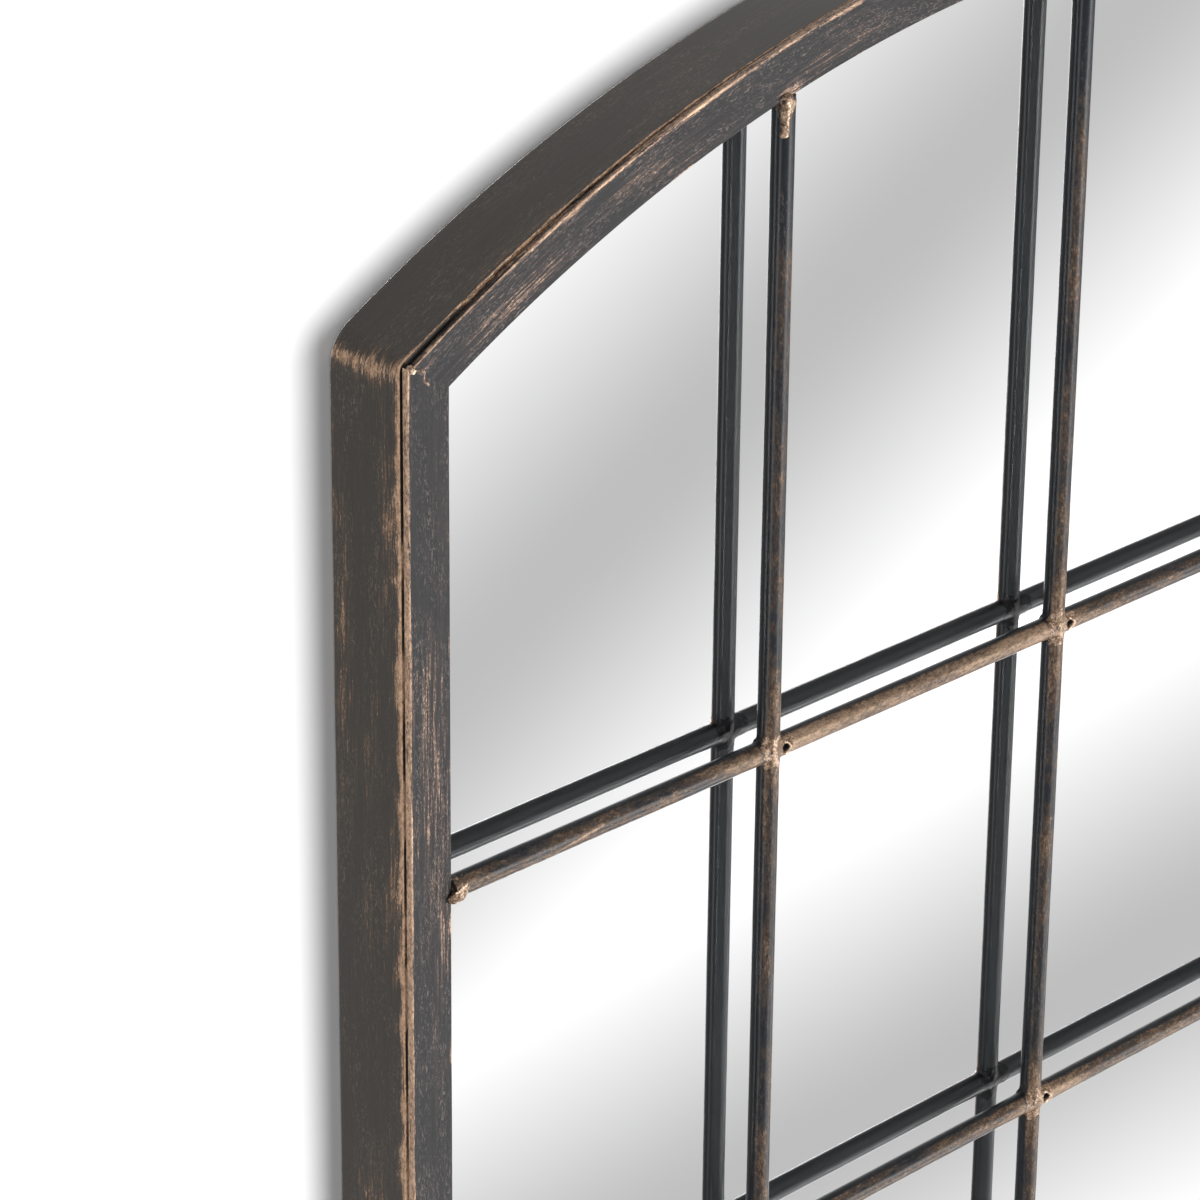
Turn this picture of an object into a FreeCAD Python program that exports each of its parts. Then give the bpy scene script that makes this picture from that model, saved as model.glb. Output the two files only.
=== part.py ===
import FreeCAD, Part
import math
import os

# Arched window mirror for a wall: a welded steel frame with round glazing bars in front of one mirror plate.
# X runs to the right, Y runs from the viewer into the wall and Z runs up, in millimetres.
# The origin lies midway between the two hanging keyholes, on the wall plane.

Vec = FreeCAD.Vector

# Frame outline
WIDTH = 600.0
HEIGHT = 1000.0
ARCH_RADIUS = 604.0
SPRING_ABOVE_HANGERS = 65.0

# Strip on edge, bent round the outside: its upper corners are tighter at the front than at the wall
BAND_WIDTH = 30.0
BAND_THICK = 2.0
BEND_INSIDE_FRONT = 2.0
BEND_INSIDE_WALL = 12.0
BOTTOM_BEND_INSIDE = 4.0
BAND_SEAM = 1.2

# Flat strips of the front face
FLAT_WIDTH = 17.0
FLAT_THICK = 2.5
ARRIS = 0.5

# Glazing bars and the beads round their ends
BAR_DIAMETER = 7.6
BAR_SETBACK = 2.0
FIRST_BAR_DROP = 172.0
CROSS_BAR_ROWS = 4
COLUMNS = 4
ROOT_GAP = 0.25
WELD_SHARE = 0.3

# Mirror plate, the strips that hold it off the front face, and the board behind it
MIRROR_SETBACK = 12.0
MIRROR_THICK = 4.0
BOARD_THICK = 3.0
CHANNEL = 8.5
SPACER_LIP = 2.0
SPACER_END_GAP = 0.5

# Beads that hold the flats to the strip and to each other, out of sight
TACK_LEG = 2.5
TACK_LENGTH = 12.0
TACK_CLEAR = 1.0
TACKS_PER_STILE = 4
TACKS_PER_ARCH = 4
TACKS_PER_BOTTOM = 4
MITRE_BEAD_WIDTH = 3.0
MITRE_BEAD_HEIGHT = 1.0
CURVE_CLEAR = 0.01

# Turn buttons that hold the board in, each riveted to a lug in the channel round the board
LUG_WIDTH = 16.0
LUG_THICK = 2.0
LUG_CLEAR = 0.5
LUG_BEAD_LEG = 2.0
LUGS_PER_STILE = 2
LUGS_PER_ARCH = 2
LUGS_PER_BOTTOM = 2
BUTTON_REACH = 20.0
BUTTON_THICK = 1.5
BUTTON_SIDE_CLEAR = 0.55
BUTTON_GAP = 0.2
RIVET_RADIUS = 2.0
RIVET_CLEAR = 0.05
RIVET_HEAD_RADIUS = 3.2
RIVET_HEAD_HEIGHT = 1.5

# Keyhole plates at the wall
HANGER_INSET = 22.0
HANGER_WIDTH = 36.0
HANGER_ABOVE = 26.0
HANGER_BELOW = 16.0
HANGER_THICK = 2.5
HANGER_CORNER = 6.0
HANGER_BEAD_LEG = 3.0
KEYHOLE_RADIUS = 5.5
KEYHOLE_SLOT = 5.5
KEYHOLE_RISE = 12.0

# Heights and half widths that follow from the sizes above
HALF = WIDTH / 2
WALL_HALF = HALF - BAND_THICK
SPRING_Z = SPRING_ABOVE_HANGERS
ARCH_Z = SPRING_Z - math.sqrt(ARCH_RADIUS ** 2 - HALF ** 2)
BOTTOM_Z = ARCH_Z + ARCH_RADIUS - HEIGHT
FIRST_BAR_Z = SPRING_Z - FIRST_BAR_DROP
ROW_PITCH = (FIRST_BAR_Z - BOTTOM_Z - FLAT_WIDTH) / CROSS_BAR_ROWS
COLUMN_PITCH = (WIDTH - 2 * FLAT_WIDTH) / COLUMNS
BAR_RADIUS = BAR_DIAMETER / 2
HANGER_X = HALF - HANGER_INSET

# Depths, from the front face back to the wall
FRONT_Y = -BAND_WIDTH - FLAT_THICK
FLAT_BACK_Y = FRONT_Y + FLAT_THICK
BAR_Y = FRONT_Y + BAR_SETBACK
MIRROR_Y = FRONT_Y + MIRROR_SETBACK
BOARD_Y = MIRROR_Y + MIRROR_THICK
BACK_Y = BOARD_Y + BOARD_THICK
BUTTON_Y = BACK_Y + BUTTON_GAP
RIVET_HEAD_Y = BUTTON_Y + BUTTON_THICK + BUTTON_GAP

# Distances in from the frame's outside
PLATE_INSET = BAND_THICK + CHANNEL
SPACER_OUTER = BAND_THICK + TACK_LEG + TACK_CLEAR
SPACER_INNER = FLAT_WIDTH - SPACER_LIP

TOUCH = 1e-6
ALONG_X = Vec(1, 0, 0)
ALONG_Y = Vec(0, 1, 0)
ALONG_Z = Vec(0, 0, 1)
ORIGIN = Vec(0, 0, 0)
ARCH_CENTRE = Vec(0, 0, ARCH_Z)
parts = {}


def corner_z(inset):
    """Height where the arch meets the stile, on the frame's outline drawn in by inset."""
    return ARCH_Z + math.sqrt((ARCH_RADIUS - inset) ** 2 - (HALF - inset) ** 2)


def arch_height(x, inset):
    """Height of the arch at x, on the frame's outline drawn in by inset."""
    return ARCH_Z + math.sqrt((ARCH_RADIUS - inset) ** 2 - x ** 2)


def edge(points):
    """A straight edge through two points, or an arc through three."""
    if len(points) == 2:
        return Part.LineSegment(*points).toShape()
    return Part.Arc(*points).toShape()


def prism(runs, thick):
    """Solid raised along Y from a closed loop of lines and arcs."""
    face = Part.Face(Part.Wire([edge(run) for run in runs]))
    return face.extrude(ALONG_Y * thick)


def block(x0, x1, y0, y1, z0, z1):
    return Part.makeBox(x1 - x0, y1 - y0, z1 - z0, Vec(x0, y0, z0))


def disc(radius, x, y, z, thick):
    """Round plate that lies across Y."""
    return Part.makeCylinder(radius, thick, Vec(x, y, z), ALONG_Y)


def arched_plate(inset, y, thick):
    """Plate with the frame's outline, drawn in by inset."""
    half = HALF - inset
    a, b = Vec(-half, y, BOTTOM_Z + inset), Vec(half, y, BOTTOM_Z + inset)
    c, d = Vec(half, y, corner_z(inset)), Vec(-half, y, corner_z(inset))
    crown = Vec(0, y, ARCH_Z + ARCH_RADIUS - inset)
    return prism([[a, b], [b, c], [c, crown, d], [d, a]], thick)


def facing(shape, outward, wall_point):
    """Turns a piece made against a wall at x = 0 so that +X points outward in the XZ plane, then moves it."""
    turned = shape.copy()
    turned.rotate(ORIGIN, ALONG_Y, math.degrees(math.atan2(-outward.z, outward.x)))
    turned.translate(wall_point)
    return turned


def spread(count, low, high):
    """Evenly spaced places between two limits, half a step in from each."""
    return [low + (high - low) * (i + 0.5) / count for i in range(count)]


def wall_places(per_stile, per_arch, per_bottom, stile_top):
    """(outward direction, point on the inside of the strip) for pieces spaced round the frame."""
    places = []
    for side in (-1, 1):
        for z in spread(per_stile, BOTTOM_Z + FLAT_WIDTH, stile_top):
            places.append((Vec(side, 0, 0), Vec(side * WALL_HALF, 0, z)))
    half_angle = math.asin(HALF / ARCH_RADIUS)
    for angle in spread(per_arch, -half_angle, half_angle):
        outward = Vec(math.sin(angle), 0, math.cos(angle))
        places.append((outward, ARCH_CENTRE + outward * (ARCH_RADIUS - BAND_THICK)))
    for x in spread(per_bottom, -WALL_HALF, WALL_HALF):
        places.append((Vec(0, 0, -1), Vec(x, 0, BOTTOM_Z + BAND_THICK)))
    return places


# Front flats, mitred where they meet

def flat(corners, is_long):
    """Strip through four front corners, with its long front edges eased."""
    solid = prism(list(zip(corners, corners[1:] + corners[:1])), FLAT_THICK)
    chosen = []
    for e in solid.Edges:
        p, q = e.Vertexes[0].Point, e.Vertexes[-1].Point
        if max(abs(p.y - FRONT_Y), abs(q.y - FRONT_Y)) < TOUCH and is_long(p, q):
            chosen.append(e)
    return solid.makeChamfer(ARRIS, chosen)


def front_stile(side):
    outer, inner = side * HALF, side * (HALF - FLAT_WIDTH)
    corners = [Vec(outer, FRONT_Y, BOTTOM_Z), Vec(outer, FRONT_Y, SPRING_Z),
               Vec(inner, FRONT_Y, corner_z(FLAT_WIDTH)), Vec(inner, FRONT_Y, BOTTOM_Z + FLAT_WIDTH)]
    return flat(corners, lambda p, q: abs(p.x - q.x) < TOUCH)


def front_bottom_rail():
    inner, top = HALF - FLAT_WIDTH, BOTTOM_Z + FLAT_WIDTH
    corners = [Vec(-HALF, FRONT_Y, BOTTOM_Z), Vec(HALF, FRONT_Y, BOTTOM_Z),
               Vec(inner, FRONT_Y, top), Vec(-inner, FRONT_Y, top)]
    return flat(corners, lambda p, q: abs(p.z - q.z) < TOUCH)


def flat_section():
    """The flat's section at the right of the arch's centre, with its two front edges eased."""
    inner, outer = ARCH_RADIUS - FLAT_WIDTH, ARCH_RADIUS
    corners = [(inner + ARRIS, 0), (outer - ARRIS, 0), (outer, ARRIS), (outer, FLAT_THICK),
               (inner, FLAT_THICK), (inner, ARRIS)]
    points = [Vec(x, FRONT_Y + y, ARCH_Z) for x, y in corners]
    return Part.makePolygon(points + points[:1])


def front_arch():
    """Half ring of the flat's section, cut off along the two mitres."""
    ring = Part.Face(flat_section()).revolve(ARCH_CENTRE, -ALONG_Y, 180)
    inner = Vec(HALF - FLAT_WIDTH, FRONT_Y, corner_z(FLAT_WIDTH))
    outer = Vec(HALF, FRONT_Y, SPRING_Z)
    beyond = outer + (outer - inner)
    top = Vec(beyond.x, FRONT_Y, ARCH_Z + ARCH_RADIUS + FLAT_WIDTH)
    right = [inner, beyond, top]
    points = right + [Vec(-p.x, p.y, p.z) for p in reversed(right)]
    return ring.common(prism(list(zip(points, points[1:] + points[:1])), FLAT_THICK))


# Side strip

def band_runs(inset, bend_inside, y):
    """Lines and arcs of the strip's outline, drawn in by inset, from the right of the seam round to its left."""
    half, low = HALF - inset, BOTTOM_Z + inset
    bend_x = WALL_HALF - bend_inside
    bend_z = ARCH_Z + math.sqrt((ARCH_RADIUS - BAND_THICK - bend_inside) ** 2 - bend_x ** 2)
    tilt = math.atan2(bend_x, bend_z - ARCH_Z)
    middle = (math.pi / 2 - tilt) / 2
    top = bend_inside + BAND_THICK - inset
    foot = BOTTOM_BEND_INSIDE + BAND_THICK - inset
    eighth = foot * math.sqrt(0.5)
    right = [
        [(BAND_SEAM / 2, low), (half - foot, low)],
        [(half - foot, low), (half - foot + eighth, low + foot - eighth), (half, low + foot)],
        [(half, low + foot), (half, bend_z)],
        [(half, bend_z), (bend_x + top * math.cos(middle), bend_z + top * math.sin(middle)),
         (bend_x + top * math.sin(tilt), bend_z + top * math.cos(tilt))],
    ]
    left = [[(-x, z) for x, z in reversed(run)] for run in reversed(right)]
    arch = [right[-1][-1], (0, ARCH_Z + ARCH_RADIUS - inset), left[0][0]]
    return [[Vec(x, y, z) for x, z in run] for run in right + [arch] + left]


def band_section(bend_inside, y):
    """Closed outline of the strip at one depth."""
    outer = band_runs(0.0, bend_inside, y)
    inner = [list(reversed(run)) for run in reversed(band_runs(BAND_THICK, bend_inside, y))]
    runs = outer + [[outer[-1][-1], inner[0][0]]] + inner + [[inner[-1][-1], outer[0][0]]]
    return Part.Wire([edge(run) for run in runs])


def side_band():
    sections = [band_section(BEND_INSIDE_FRONT, FLAT_BACK_Y), band_section(BEND_INSIDE_WALL, 0.0)]
    return Part.makeLoft(sections, True, True)


def band_seam_weld():
    return block(-BAND_SEAM / 2, BAND_SEAM / 2, FLAT_BACK_Y, 0.0, BOTTOM_Z, BOTTOM_Z + BAND_THICK)


# Glazing bars

def vertical_bar(x):
    """Upright from the bottom rail to the arch, coped to the arch at its top."""
    low = BOTTOM_Z + FLAT_WIDTH + ROOT_GAP
    rod = Part.makeCylinder(BAR_RADIUS, ARCH_Z + ARCH_RADIUS - low, Vec(x, BAR_Y, low))
    under_arch = disc(ARCH_RADIUS - FLAT_WIDTH - ROOT_GAP, 0, BAR_Y - BAR_DIAMETER, ARCH_Z, 2 * BAR_DIAMETER)
    return rod.common(under_arch)


def cross_bar(x0, x1, z):
    return Part.makeCylinder(BAR_RADIUS, x1 - x0, Vec(x0, BAR_Y, z), ALONG_X)


def weld(face_point, along, pieces):
    """Bead round a butt joint, centred in its root gap and up to the faces of the pieces that it joins."""
    ball = Part.makeSphere(BAR_RADIUS * (1 + WELD_SHARE), face_point + along * (ROOT_GAP / 2), along)
    return max(ball.cut(pieces).Solids, key=lambda solid: solid.Volume)


def frame_rim():
    """The space that the flats and what lies behind them take up, down to the mirror."""
    return arched_plate(0.0, FRONT_Y, MIRROR_SETBACK).cut(arched_plate(FLAT_WIDTH, FRONT_Y, MIRROR_SETBACK))


# Beads, glazing strips, turn buttons and hangers

def wall_bead(leg, length, away):
    """Three-cornered bead between a wall at x = 0 and a face at y = 0, on the side away (1 or -1) of that face."""
    corners = [(leg, 0), (-leg, 0), (0, away * leg), (leg, away * leg)]
    points = [Vec(x, y, -length / 2) for x, y in corners]
    return Part.Face(Part.makePolygon(points + points[:1])).extrude(Vec(0, 0, length))


def within_band(shape):
    """Trims a piece to the inside of the strip, so that it fits a straight or a curved wall."""
    return shape.common(arched_plate(BAND_THICK + CURVE_CLEAR, FLAT_BACK_Y, BAND_WIDTH))


def mitre_bead(side, at_arch):
    """Flat bead across the back of a mitre."""
    ends = []
    for inset in (BAND_THICK + TACK_LEG, SPACER_INNER - MITRE_BEAD_WIDTH):
        z = corner_z(inset) if at_arch else BOTTOM_Z + inset
        ends.append(Vec(side * (HALF - inset), 0, z))
    along = ends[1] - ends[0]
    bead = block(0, along.Length, FLAT_BACK_Y, FLAT_BACK_Y + MITRE_BEAD_HEIGHT,
                 -MITRE_BEAD_WIDTH / 2, MITRE_BEAD_WIDTH / 2)
    return facing(bead, along, ends[0])


def stile_spacer(side):
    near, far = sorted((side * (HALF - SPACER_OUTER), side * (HALF - SPACER_INNER)))
    return block(near, far, FLAT_BACK_Y, MIRROR_Y, BOTTOM_Z + SPACER_INNER, corner_z(SPACER_INNER))


def bottom_spacer():
    reach = HALF - SPACER_INNER - SPACER_END_GAP
    return block(-reach, reach, FLAT_BACK_Y, MIRROR_Y, BOTTOM_Z + SPACER_OUTER, BOTTOM_Z + SPACER_INNER)


def arch_spacer():
    thick = MIRROR_Y - FLAT_BACK_Y
    rim = disc(ARCH_RADIUS - SPACER_OUTER, 0, FLAT_BACK_Y, ARCH_Z, thick)
    rim = rim.cut(disc(ARCH_RADIUS - SPACER_INNER, 0, FLAT_BACK_Y, ARCH_Z, thick))
    reach = HALF - SPACER_INNER - SPACER_END_GAP
    return rim.common(block(-reach, reach, FLAT_BACK_Y, MIRROR_Y, ARCH_Z, ARCH_Z + ARCH_RADIUS))


def button_lug():
    """Lug with its rivet hole, long enough to be trimmed to the wall."""
    lug = block(-CHANNEL + LUG_CLEAR, CHANNEL, BACK_Y - LUG_THICK, BACK_Y, -LUG_WIDTH / 2, LUG_WIDTH / 2)
    return lug.cut(disc(RIVET_RADIUS, -CHANNEL / 2, BACK_Y - LUG_THICK, 0, LUG_THICK))


def turn_button():
    """Round-ended strip that points inward from its pivot."""
    pivot, half = -CHANNEL / 2, CHANNEL / 2 - BUTTON_SIDE_CLEAR
    tip = pivot - BUTTON_REACH + half
    middle = block(tip, pivot, BUTTON_Y, BUTTON_Y + BUTTON_THICK, -half, half)
    ends = [disc(half, x, BUTTON_Y, 0, BUTTON_THICK) for x in (tip, pivot)]
    hole = disc(RIVET_RADIUS + RIVET_CLEAR, pivot, BUTTON_Y, 0, BUTTON_THICK)
    return middle.fuse(ends).removeSplitter().cut(hole)


def button_rivet():
    pivot = -CHANNEL / 2
    low = BACK_Y - LUG_THICK
    shank = disc(RIVET_RADIUS, pivot, low, 0, RIVET_HEAD_Y - low)
    dome = (RIVET_HEAD_RADIUS ** 2 + RIVET_HEAD_HEIGHT ** 2) / (2 * RIVET_HEAD_HEIGHT)
    ball = Part.makeSphere(dome, Vec(pivot, RIVET_HEAD_Y + RIVET_HEAD_HEIGHT - dome, 0))
    head = ball.common(disc(RIVET_HEAD_RADIUS, pivot, RIVET_HEAD_Y, 0, RIVET_HEAD_HEIGHT))
    return shank.fuse(head)


def hanger_plate(side):
    near = WALL_HALF - HANGER_WIDTH
    plate = block(near, WALL_HALF, -HANGER_THICK, 0.0, -HANGER_BELOW, HANGER_ABOVE)
    free = []
    for e in plate.Edges:
        p, q = e.Vertexes
        if max(abs(p.X - near), abs(q.X - near), abs(p.Z - q.Z)) < TOUCH:
            free.append(e)
    plate = plate.makeFillet(HANGER_CORNER, free)
    half = KEYHOLE_SLOT / 2
    entry = disc(KEYHOLE_RADIUS, HANGER_X, -HANGER_THICK, 0, HANGER_THICK)
    slot = block(HANGER_X - half, HANGER_X + half, -HANGER_THICK, 0.0, 0.0, KEYHOLE_RISE)
    crown = disc(half, HANGER_X, -HANGER_THICK, KEYHOLE_RISE, HANGER_THICK)
    plate = plate.cut([entry, slot, crown])
    return plate if side > 0 else plate.mirror(ORIGIN, ALONG_X)


def hanger_bead(side):
    length = HANGER_ABOVE + HANGER_BELOW - 2 * HANGER_BEAD_LEG
    middle = (HANGER_ABOVE - HANGER_BELOW) / 2
    bead = wall_bead(HANGER_BEAD_LEG, length, -1)
    return within_band(facing(bead, Vec(side, 0, 0), Vec(side * WALL_HALF, -HANGER_THICK, middle)))


# Whole groups of nodes

def make_frame():
    parts["side_band"] = side_band()
    parts["band_seam_weld"] = band_seam_weld()
    parts["front_stile_left"] = front_stile(-1)
    parts["front_stile_right"] = front_stile(1)
    parts["front_arch"] = front_arch()
    parts["front_bottom_rail"] = front_bottom_rail()
    mitres = [mitre_bead(side, at_arch) for side in (-1, 1) for at_arch in (True, False)]
    parts["mitre_welds"] = Part.makeCompound(mitres)
    tacks = []
    places = wall_places(TACKS_PER_STILE, TACKS_PER_ARCH, TACKS_PER_BOTTOM, corner_z(FLAT_WIDTH))
    for outward, point in places:
        bead = facing(wall_bead(TACK_LEG, TACK_LENGTH, 1), outward, point + ALONG_Y * FLAT_BACK_Y)
        tacks.append(within_band(bead))
    parts["frame_tack_welds"] = Part.makeCompound(tacks)


def make_glazing_bars():
    uprights = [-HALF + FLAT_WIDTH + COLUMN_PITCH * i for i in range(1, COLUMNS)]
    rods = [vertical_bar(x) for x in uprights]
    for name, rod in zip(("left", "middle", "right"), rods):
        parts[f"vertical_bar_{name}"] = rod
    rim = frame_rim()
    stops = [-HALF + FLAT_WIDTH] + uprights + [HALF - FLAT_WIDTH]
    stile_welds = []
    crossing_welds = []
    for row in range(CROSS_BAR_ROWS):
        z = FIRST_BAR_Z - ROW_PITCH * row
        for column in range(COLUMNS):
            first, last = column == 0, column == COLUMNS - 1
            start = stops[column] + (0.0 if first else BAR_RADIUS)
            end = stops[column + 1] - (0.0 if last else BAR_RADIUS)
            bar = cross_bar(start + ROOT_GAP, end - ROOT_GAP, z)
            parts[f"cross_bar_row{row + 1}_col{column + 1}"] = bar
            left = weld(Vec(start, BAR_Y, z), ALONG_X, [bar, rim if first else rods[column - 1]])
            right = weld(Vec(end, BAR_Y, z), -ALONG_X, [bar, rim if last else rods[column]])
            (stile_welds if first else crossing_welds).append(left)
            (stile_welds if last else crossing_welds).append(right)
    parts["stile_end_welds"] = Part.makeCompound(stile_welds)
    parts["crossing_welds"] = Part.makeCompound(crossing_welds)
    tops = [Vec(x, BAR_Y, arch_height(x, FLAT_WIDTH)) for x in uprights]
    feet = [Vec(x, BAR_Y, BOTTOM_Z + FLAT_WIDTH) for x in uprights]
    parts["arch_end_welds"] = Part.makeCompound([weld(p, -ALONG_Z, [rod, rim]) for p, rod in zip(tops, rods)])
    parts["bottom_end_welds"] = Part.makeCompound([weld(p, ALONG_Z, [rod, rim]) for p, rod in zip(feet, rods)])


def make_mirror():
    parts["spacer_left"] = stile_spacer(-1)
    parts["spacer_right"] = stile_spacer(1)
    parts["spacer_arch"] = arch_spacer()
    parts["spacer_bottom"] = bottom_spacer()
    parts["mirror_plate"] = arched_plate(PLATE_INSET, MIRROR_Y, MIRROR_THICK)
    parts["backing_board"] = arched_plate(PLATE_INSET, BOARD_Y, BOARD_THICK)


def make_back_hardware():
    lugs = []
    beads = []
    rivets = []
    places = wall_places(LUGS_PER_STILE, LUGS_PER_ARCH, LUGS_PER_BOTTOM, -HANGER_BELOW)
    for number, (outward, point) in enumerate(places, 1):
        parts[f"turn_button_{number}"] = facing(turn_button(), outward, point)
        lugs.append(within_band(facing(button_lug(), outward, point)))
        bead = wall_bead(LUG_BEAD_LEG, LUG_WIDTH, -1)
        beads.append(within_band(facing(bead, outward, point + ALONG_Y * (BACK_Y - LUG_THICK))))
        rivets.append(facing(button_rivet(), outward, point))
    parts["button_lugs"] = Part.makeCompound(lugs)
    parts["lug_welds"] = Part.makeCompound(beads)
    parts["button_rivets"] = Part.makeCompound(rivets)
    parts["hanger_plate_left"] = hanger_plate(-1)
    parts["hanger_plate_right"] = hanger_plate(1)
    parts["hanger_welds"] = Part.makeCompound([hanger_bead(-1), hanger_bead(1)])


def main():
    make_frame()
    make_glazing_bars()
    make_mirror()
    make_back_hardware()
    os.makedirs("parts", exist_ok=True)
    for name, shape in parts.items():
        shape.exportStep(f"parts/{name}.step")
    print(len(parts), "nodes,", sum(len(shape.Solids) for shape in parts.values()), "solids")


main()
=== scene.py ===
import bmesh
import bpy
import math
import random
from mathutils import Matrix, Vector, noise


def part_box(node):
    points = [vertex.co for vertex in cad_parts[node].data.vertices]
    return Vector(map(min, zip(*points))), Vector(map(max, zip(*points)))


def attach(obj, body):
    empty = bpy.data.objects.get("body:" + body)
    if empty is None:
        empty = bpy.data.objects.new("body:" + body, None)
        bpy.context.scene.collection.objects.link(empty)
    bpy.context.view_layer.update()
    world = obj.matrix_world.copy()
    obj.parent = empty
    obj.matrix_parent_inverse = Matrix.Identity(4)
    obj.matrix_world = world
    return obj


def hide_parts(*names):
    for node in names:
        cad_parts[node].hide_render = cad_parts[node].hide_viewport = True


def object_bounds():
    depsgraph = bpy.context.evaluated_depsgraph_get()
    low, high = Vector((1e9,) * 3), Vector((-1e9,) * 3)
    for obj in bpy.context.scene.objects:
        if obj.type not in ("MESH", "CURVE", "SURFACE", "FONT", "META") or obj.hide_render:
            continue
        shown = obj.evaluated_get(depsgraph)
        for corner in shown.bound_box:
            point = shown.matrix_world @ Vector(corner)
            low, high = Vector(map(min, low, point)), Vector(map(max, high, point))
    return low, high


# Arched window mirror on a white wall: rubbed bronze steel frame, round glazing bars, one mirror plate.
# Sizes are in millimetres. X runs to the right, Y into the wall and Z up, with the wall plane at y = 0.

# Frame outline, as built
WIDTH = 600.0
HEIGHT = 1000.0
ARCH_RADIUS = 604.0
SPRING_Z = 65.0

# Side strip
BAND_WIDTH = 30.0
BAND_THICK = 2.0
BEND_INSIDE_FRONT = 2.0
BEND_INSIDE_WALL = 12.0
BOTTOM_BEND_INSIDE = 4.0
BAND_SEAM = 1.2
BAND_EASE = 0.35
BAND_WAVE = 0.22

# Dark gap between the strip's front edge and the flats, wide along the stiles and closing over the arch
GAP_STILE = 0.48
GAP_ARCH = 0.35
GAP_LEAST = 0.12
GAP_DEEP = 1.15
GAP_CLOSES = 44.0

# Front flats. They sit a little in from the strip's outside, most of all beside the upper corners
FLAT_WIDTH = 17.0
FLAT_THICK = 2.5
FLAT_EASE = 0.4
FLAT_RIM = 0.25
FLAT_WAVE = 0.12
FLAT_INSET = 0.7
CORNER_INSET = 1.9
ARCH_INSET = 0.15
INSET_CLOSES = 205.0
MITRE_RUN = 12.0

# Glazing bars
BAR_DIAMETER = 7.6
BAR_SETBACK = 2.0
FIRST_BAR_DROP = 172.0
ROWS = 4
COLUMNS = 4
BAR_WAVE = 0.10

# Welds. Cross bars start inside them, so that a pit beside a crossing is a real hole
WELD_REACH = 9.0
WELD_FLARE = 0.35
WELD_TAPER = 0.25
STILE_END_GAP = 0.5
CROSS_END_GAP = 3.0

# Sheet metal behind
HARDWARE_EASE = 0.2
HARDWARE_JOIN = 0.01
HARDWARE_EDGE = 50.0

# Camera, as found from the photo's own lines
CAMERA_PLACE = (-1187.60, -983.74, 558.78)
CAMERA_HEADING = 45.469
CAMERA_DIP = 23.481
CAMERA_ROLL = 0.514
FOCAL_SHARE = 4893.4 / 1200.0
SENSOR = 36.0
CLIP = (50.0, 50000.0)

# Reflected light, in photo pixels: (point on a darkest line, fall of that line, gain per pixel)
LIGHT_BANDS = [((640.0, 488.0), 1.0, 0.00090), ((640.0, 1246.0), 0.58, 0.00117)]
DARKEST = 0.692
DARK_ROUND = 0.294
PHOTO_HALF = 600.0
GAMMA = 2.2
SILVER = 0.947

# The rest of the reflected room. Edges are cosines of the angle from a direction
ROOM_DARK = 0.32
ROOM_EDGE = (math.cos(math.radians(32.0)), math.cos(math.radians(14.0)))
WALL_LIGHT = 0.90
WALL_EDGE = (-0.05, 0.15)
FRONT_LIGHT = 0.80
FRONT_RISE = (-0.40, 0.12)
FRONT_EDGE = (math.cos(math.radians(30.0)), math.cos(math.radians(16.0)))
AMBIENT = (0.32, 0.32, 0.325)
BACKDROP = (1.0, 1.0, 1.0)

# White paper behind and below
PAPER_ALBEDO = 0.95
PAPER_CLEAR = 0.5
WALL_REACH = 3000.0
FLOOR_HALF_WIDTH = 2400.0
FLOOR_HALF_DEPTH = 2200.0

# Lamps, in metres from the place lit: (name, place, aim, sizes, watts, seen in the mirror)
LIT_PLACE = (-0.1, 0.0, -0.2)
LAMPS = [
    ("soft_key", (0.74, -2.72, -0.02), (0.0, 0.0, 0.0), (1.45, 1.45), 88.0, False),
    ("strip", (-2.05, -0.82, -0.45), (0.0, 0.0, -0.45), (0.10, 1.6), 7.0, True),
    ("behind", (1.1, 2.5, -0.1), (0.0, 0.0, 0.0), (1.6, 1.6), 60.0, True),
]

MM = 0.001
HALF = WIDTH / 2
ARCH_Z = SPRING_Z - math.sqrt(ARCH_RADIUS ** 2 - HALF ** 2)
BOTTOM_Z = ARCH_Z + ARCH_RADIUS - HEIGHT
FRONT_Y = -BAND_WIDTH - FLAT_THICK
FLAT_BACK_Y = -BAND_WIDTH
BAR_Y = FRONT_Y + BAR_SETBACK
BAR_RADIUS = BAR_DIAMETER / 2
INNER = HALF - FLAT_WIDTH
COLUMN_PITCH = 2 * INNER / COLUMNS
FIRST_BAR_Z = SPRING_Z - FIRST_BAR_DROP
ROW_PITCH = (FIRST_BAR_Z - BOTTOM_Z - FLAT_WIDTH) / ROWS
UPRIGHTS = [-INNER + COLUMN_PITCH * i for i in range(1, COLUMNS)]
ROW_Z = [FIRST_BAR_Z - ROW_PITCH * i for i in range(ROWS)]
UPRIGHT_NAMES = ["left", "middle", "right"]
RIGHT, INTO_WALL, UP = Vector((1, 0, 0)), Vector((0, 1, 0)), Vector((0, 0, 1))

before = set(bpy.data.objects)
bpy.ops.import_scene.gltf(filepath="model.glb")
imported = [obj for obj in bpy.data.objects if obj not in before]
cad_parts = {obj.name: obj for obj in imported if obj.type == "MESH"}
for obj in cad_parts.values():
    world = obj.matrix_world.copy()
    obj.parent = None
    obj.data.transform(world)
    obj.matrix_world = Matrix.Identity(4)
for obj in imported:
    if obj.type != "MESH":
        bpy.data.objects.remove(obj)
cad_low, cad_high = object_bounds()


# Small helpers

def corner_z(inset):
    """Height where the arch meets the stile, on the outline drawn in by inset."""
    return ARCH_Z + math.sqrt((ARCH_RADIUS - inset) ** 2 - (HALF - inset) ** 2)


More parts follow.
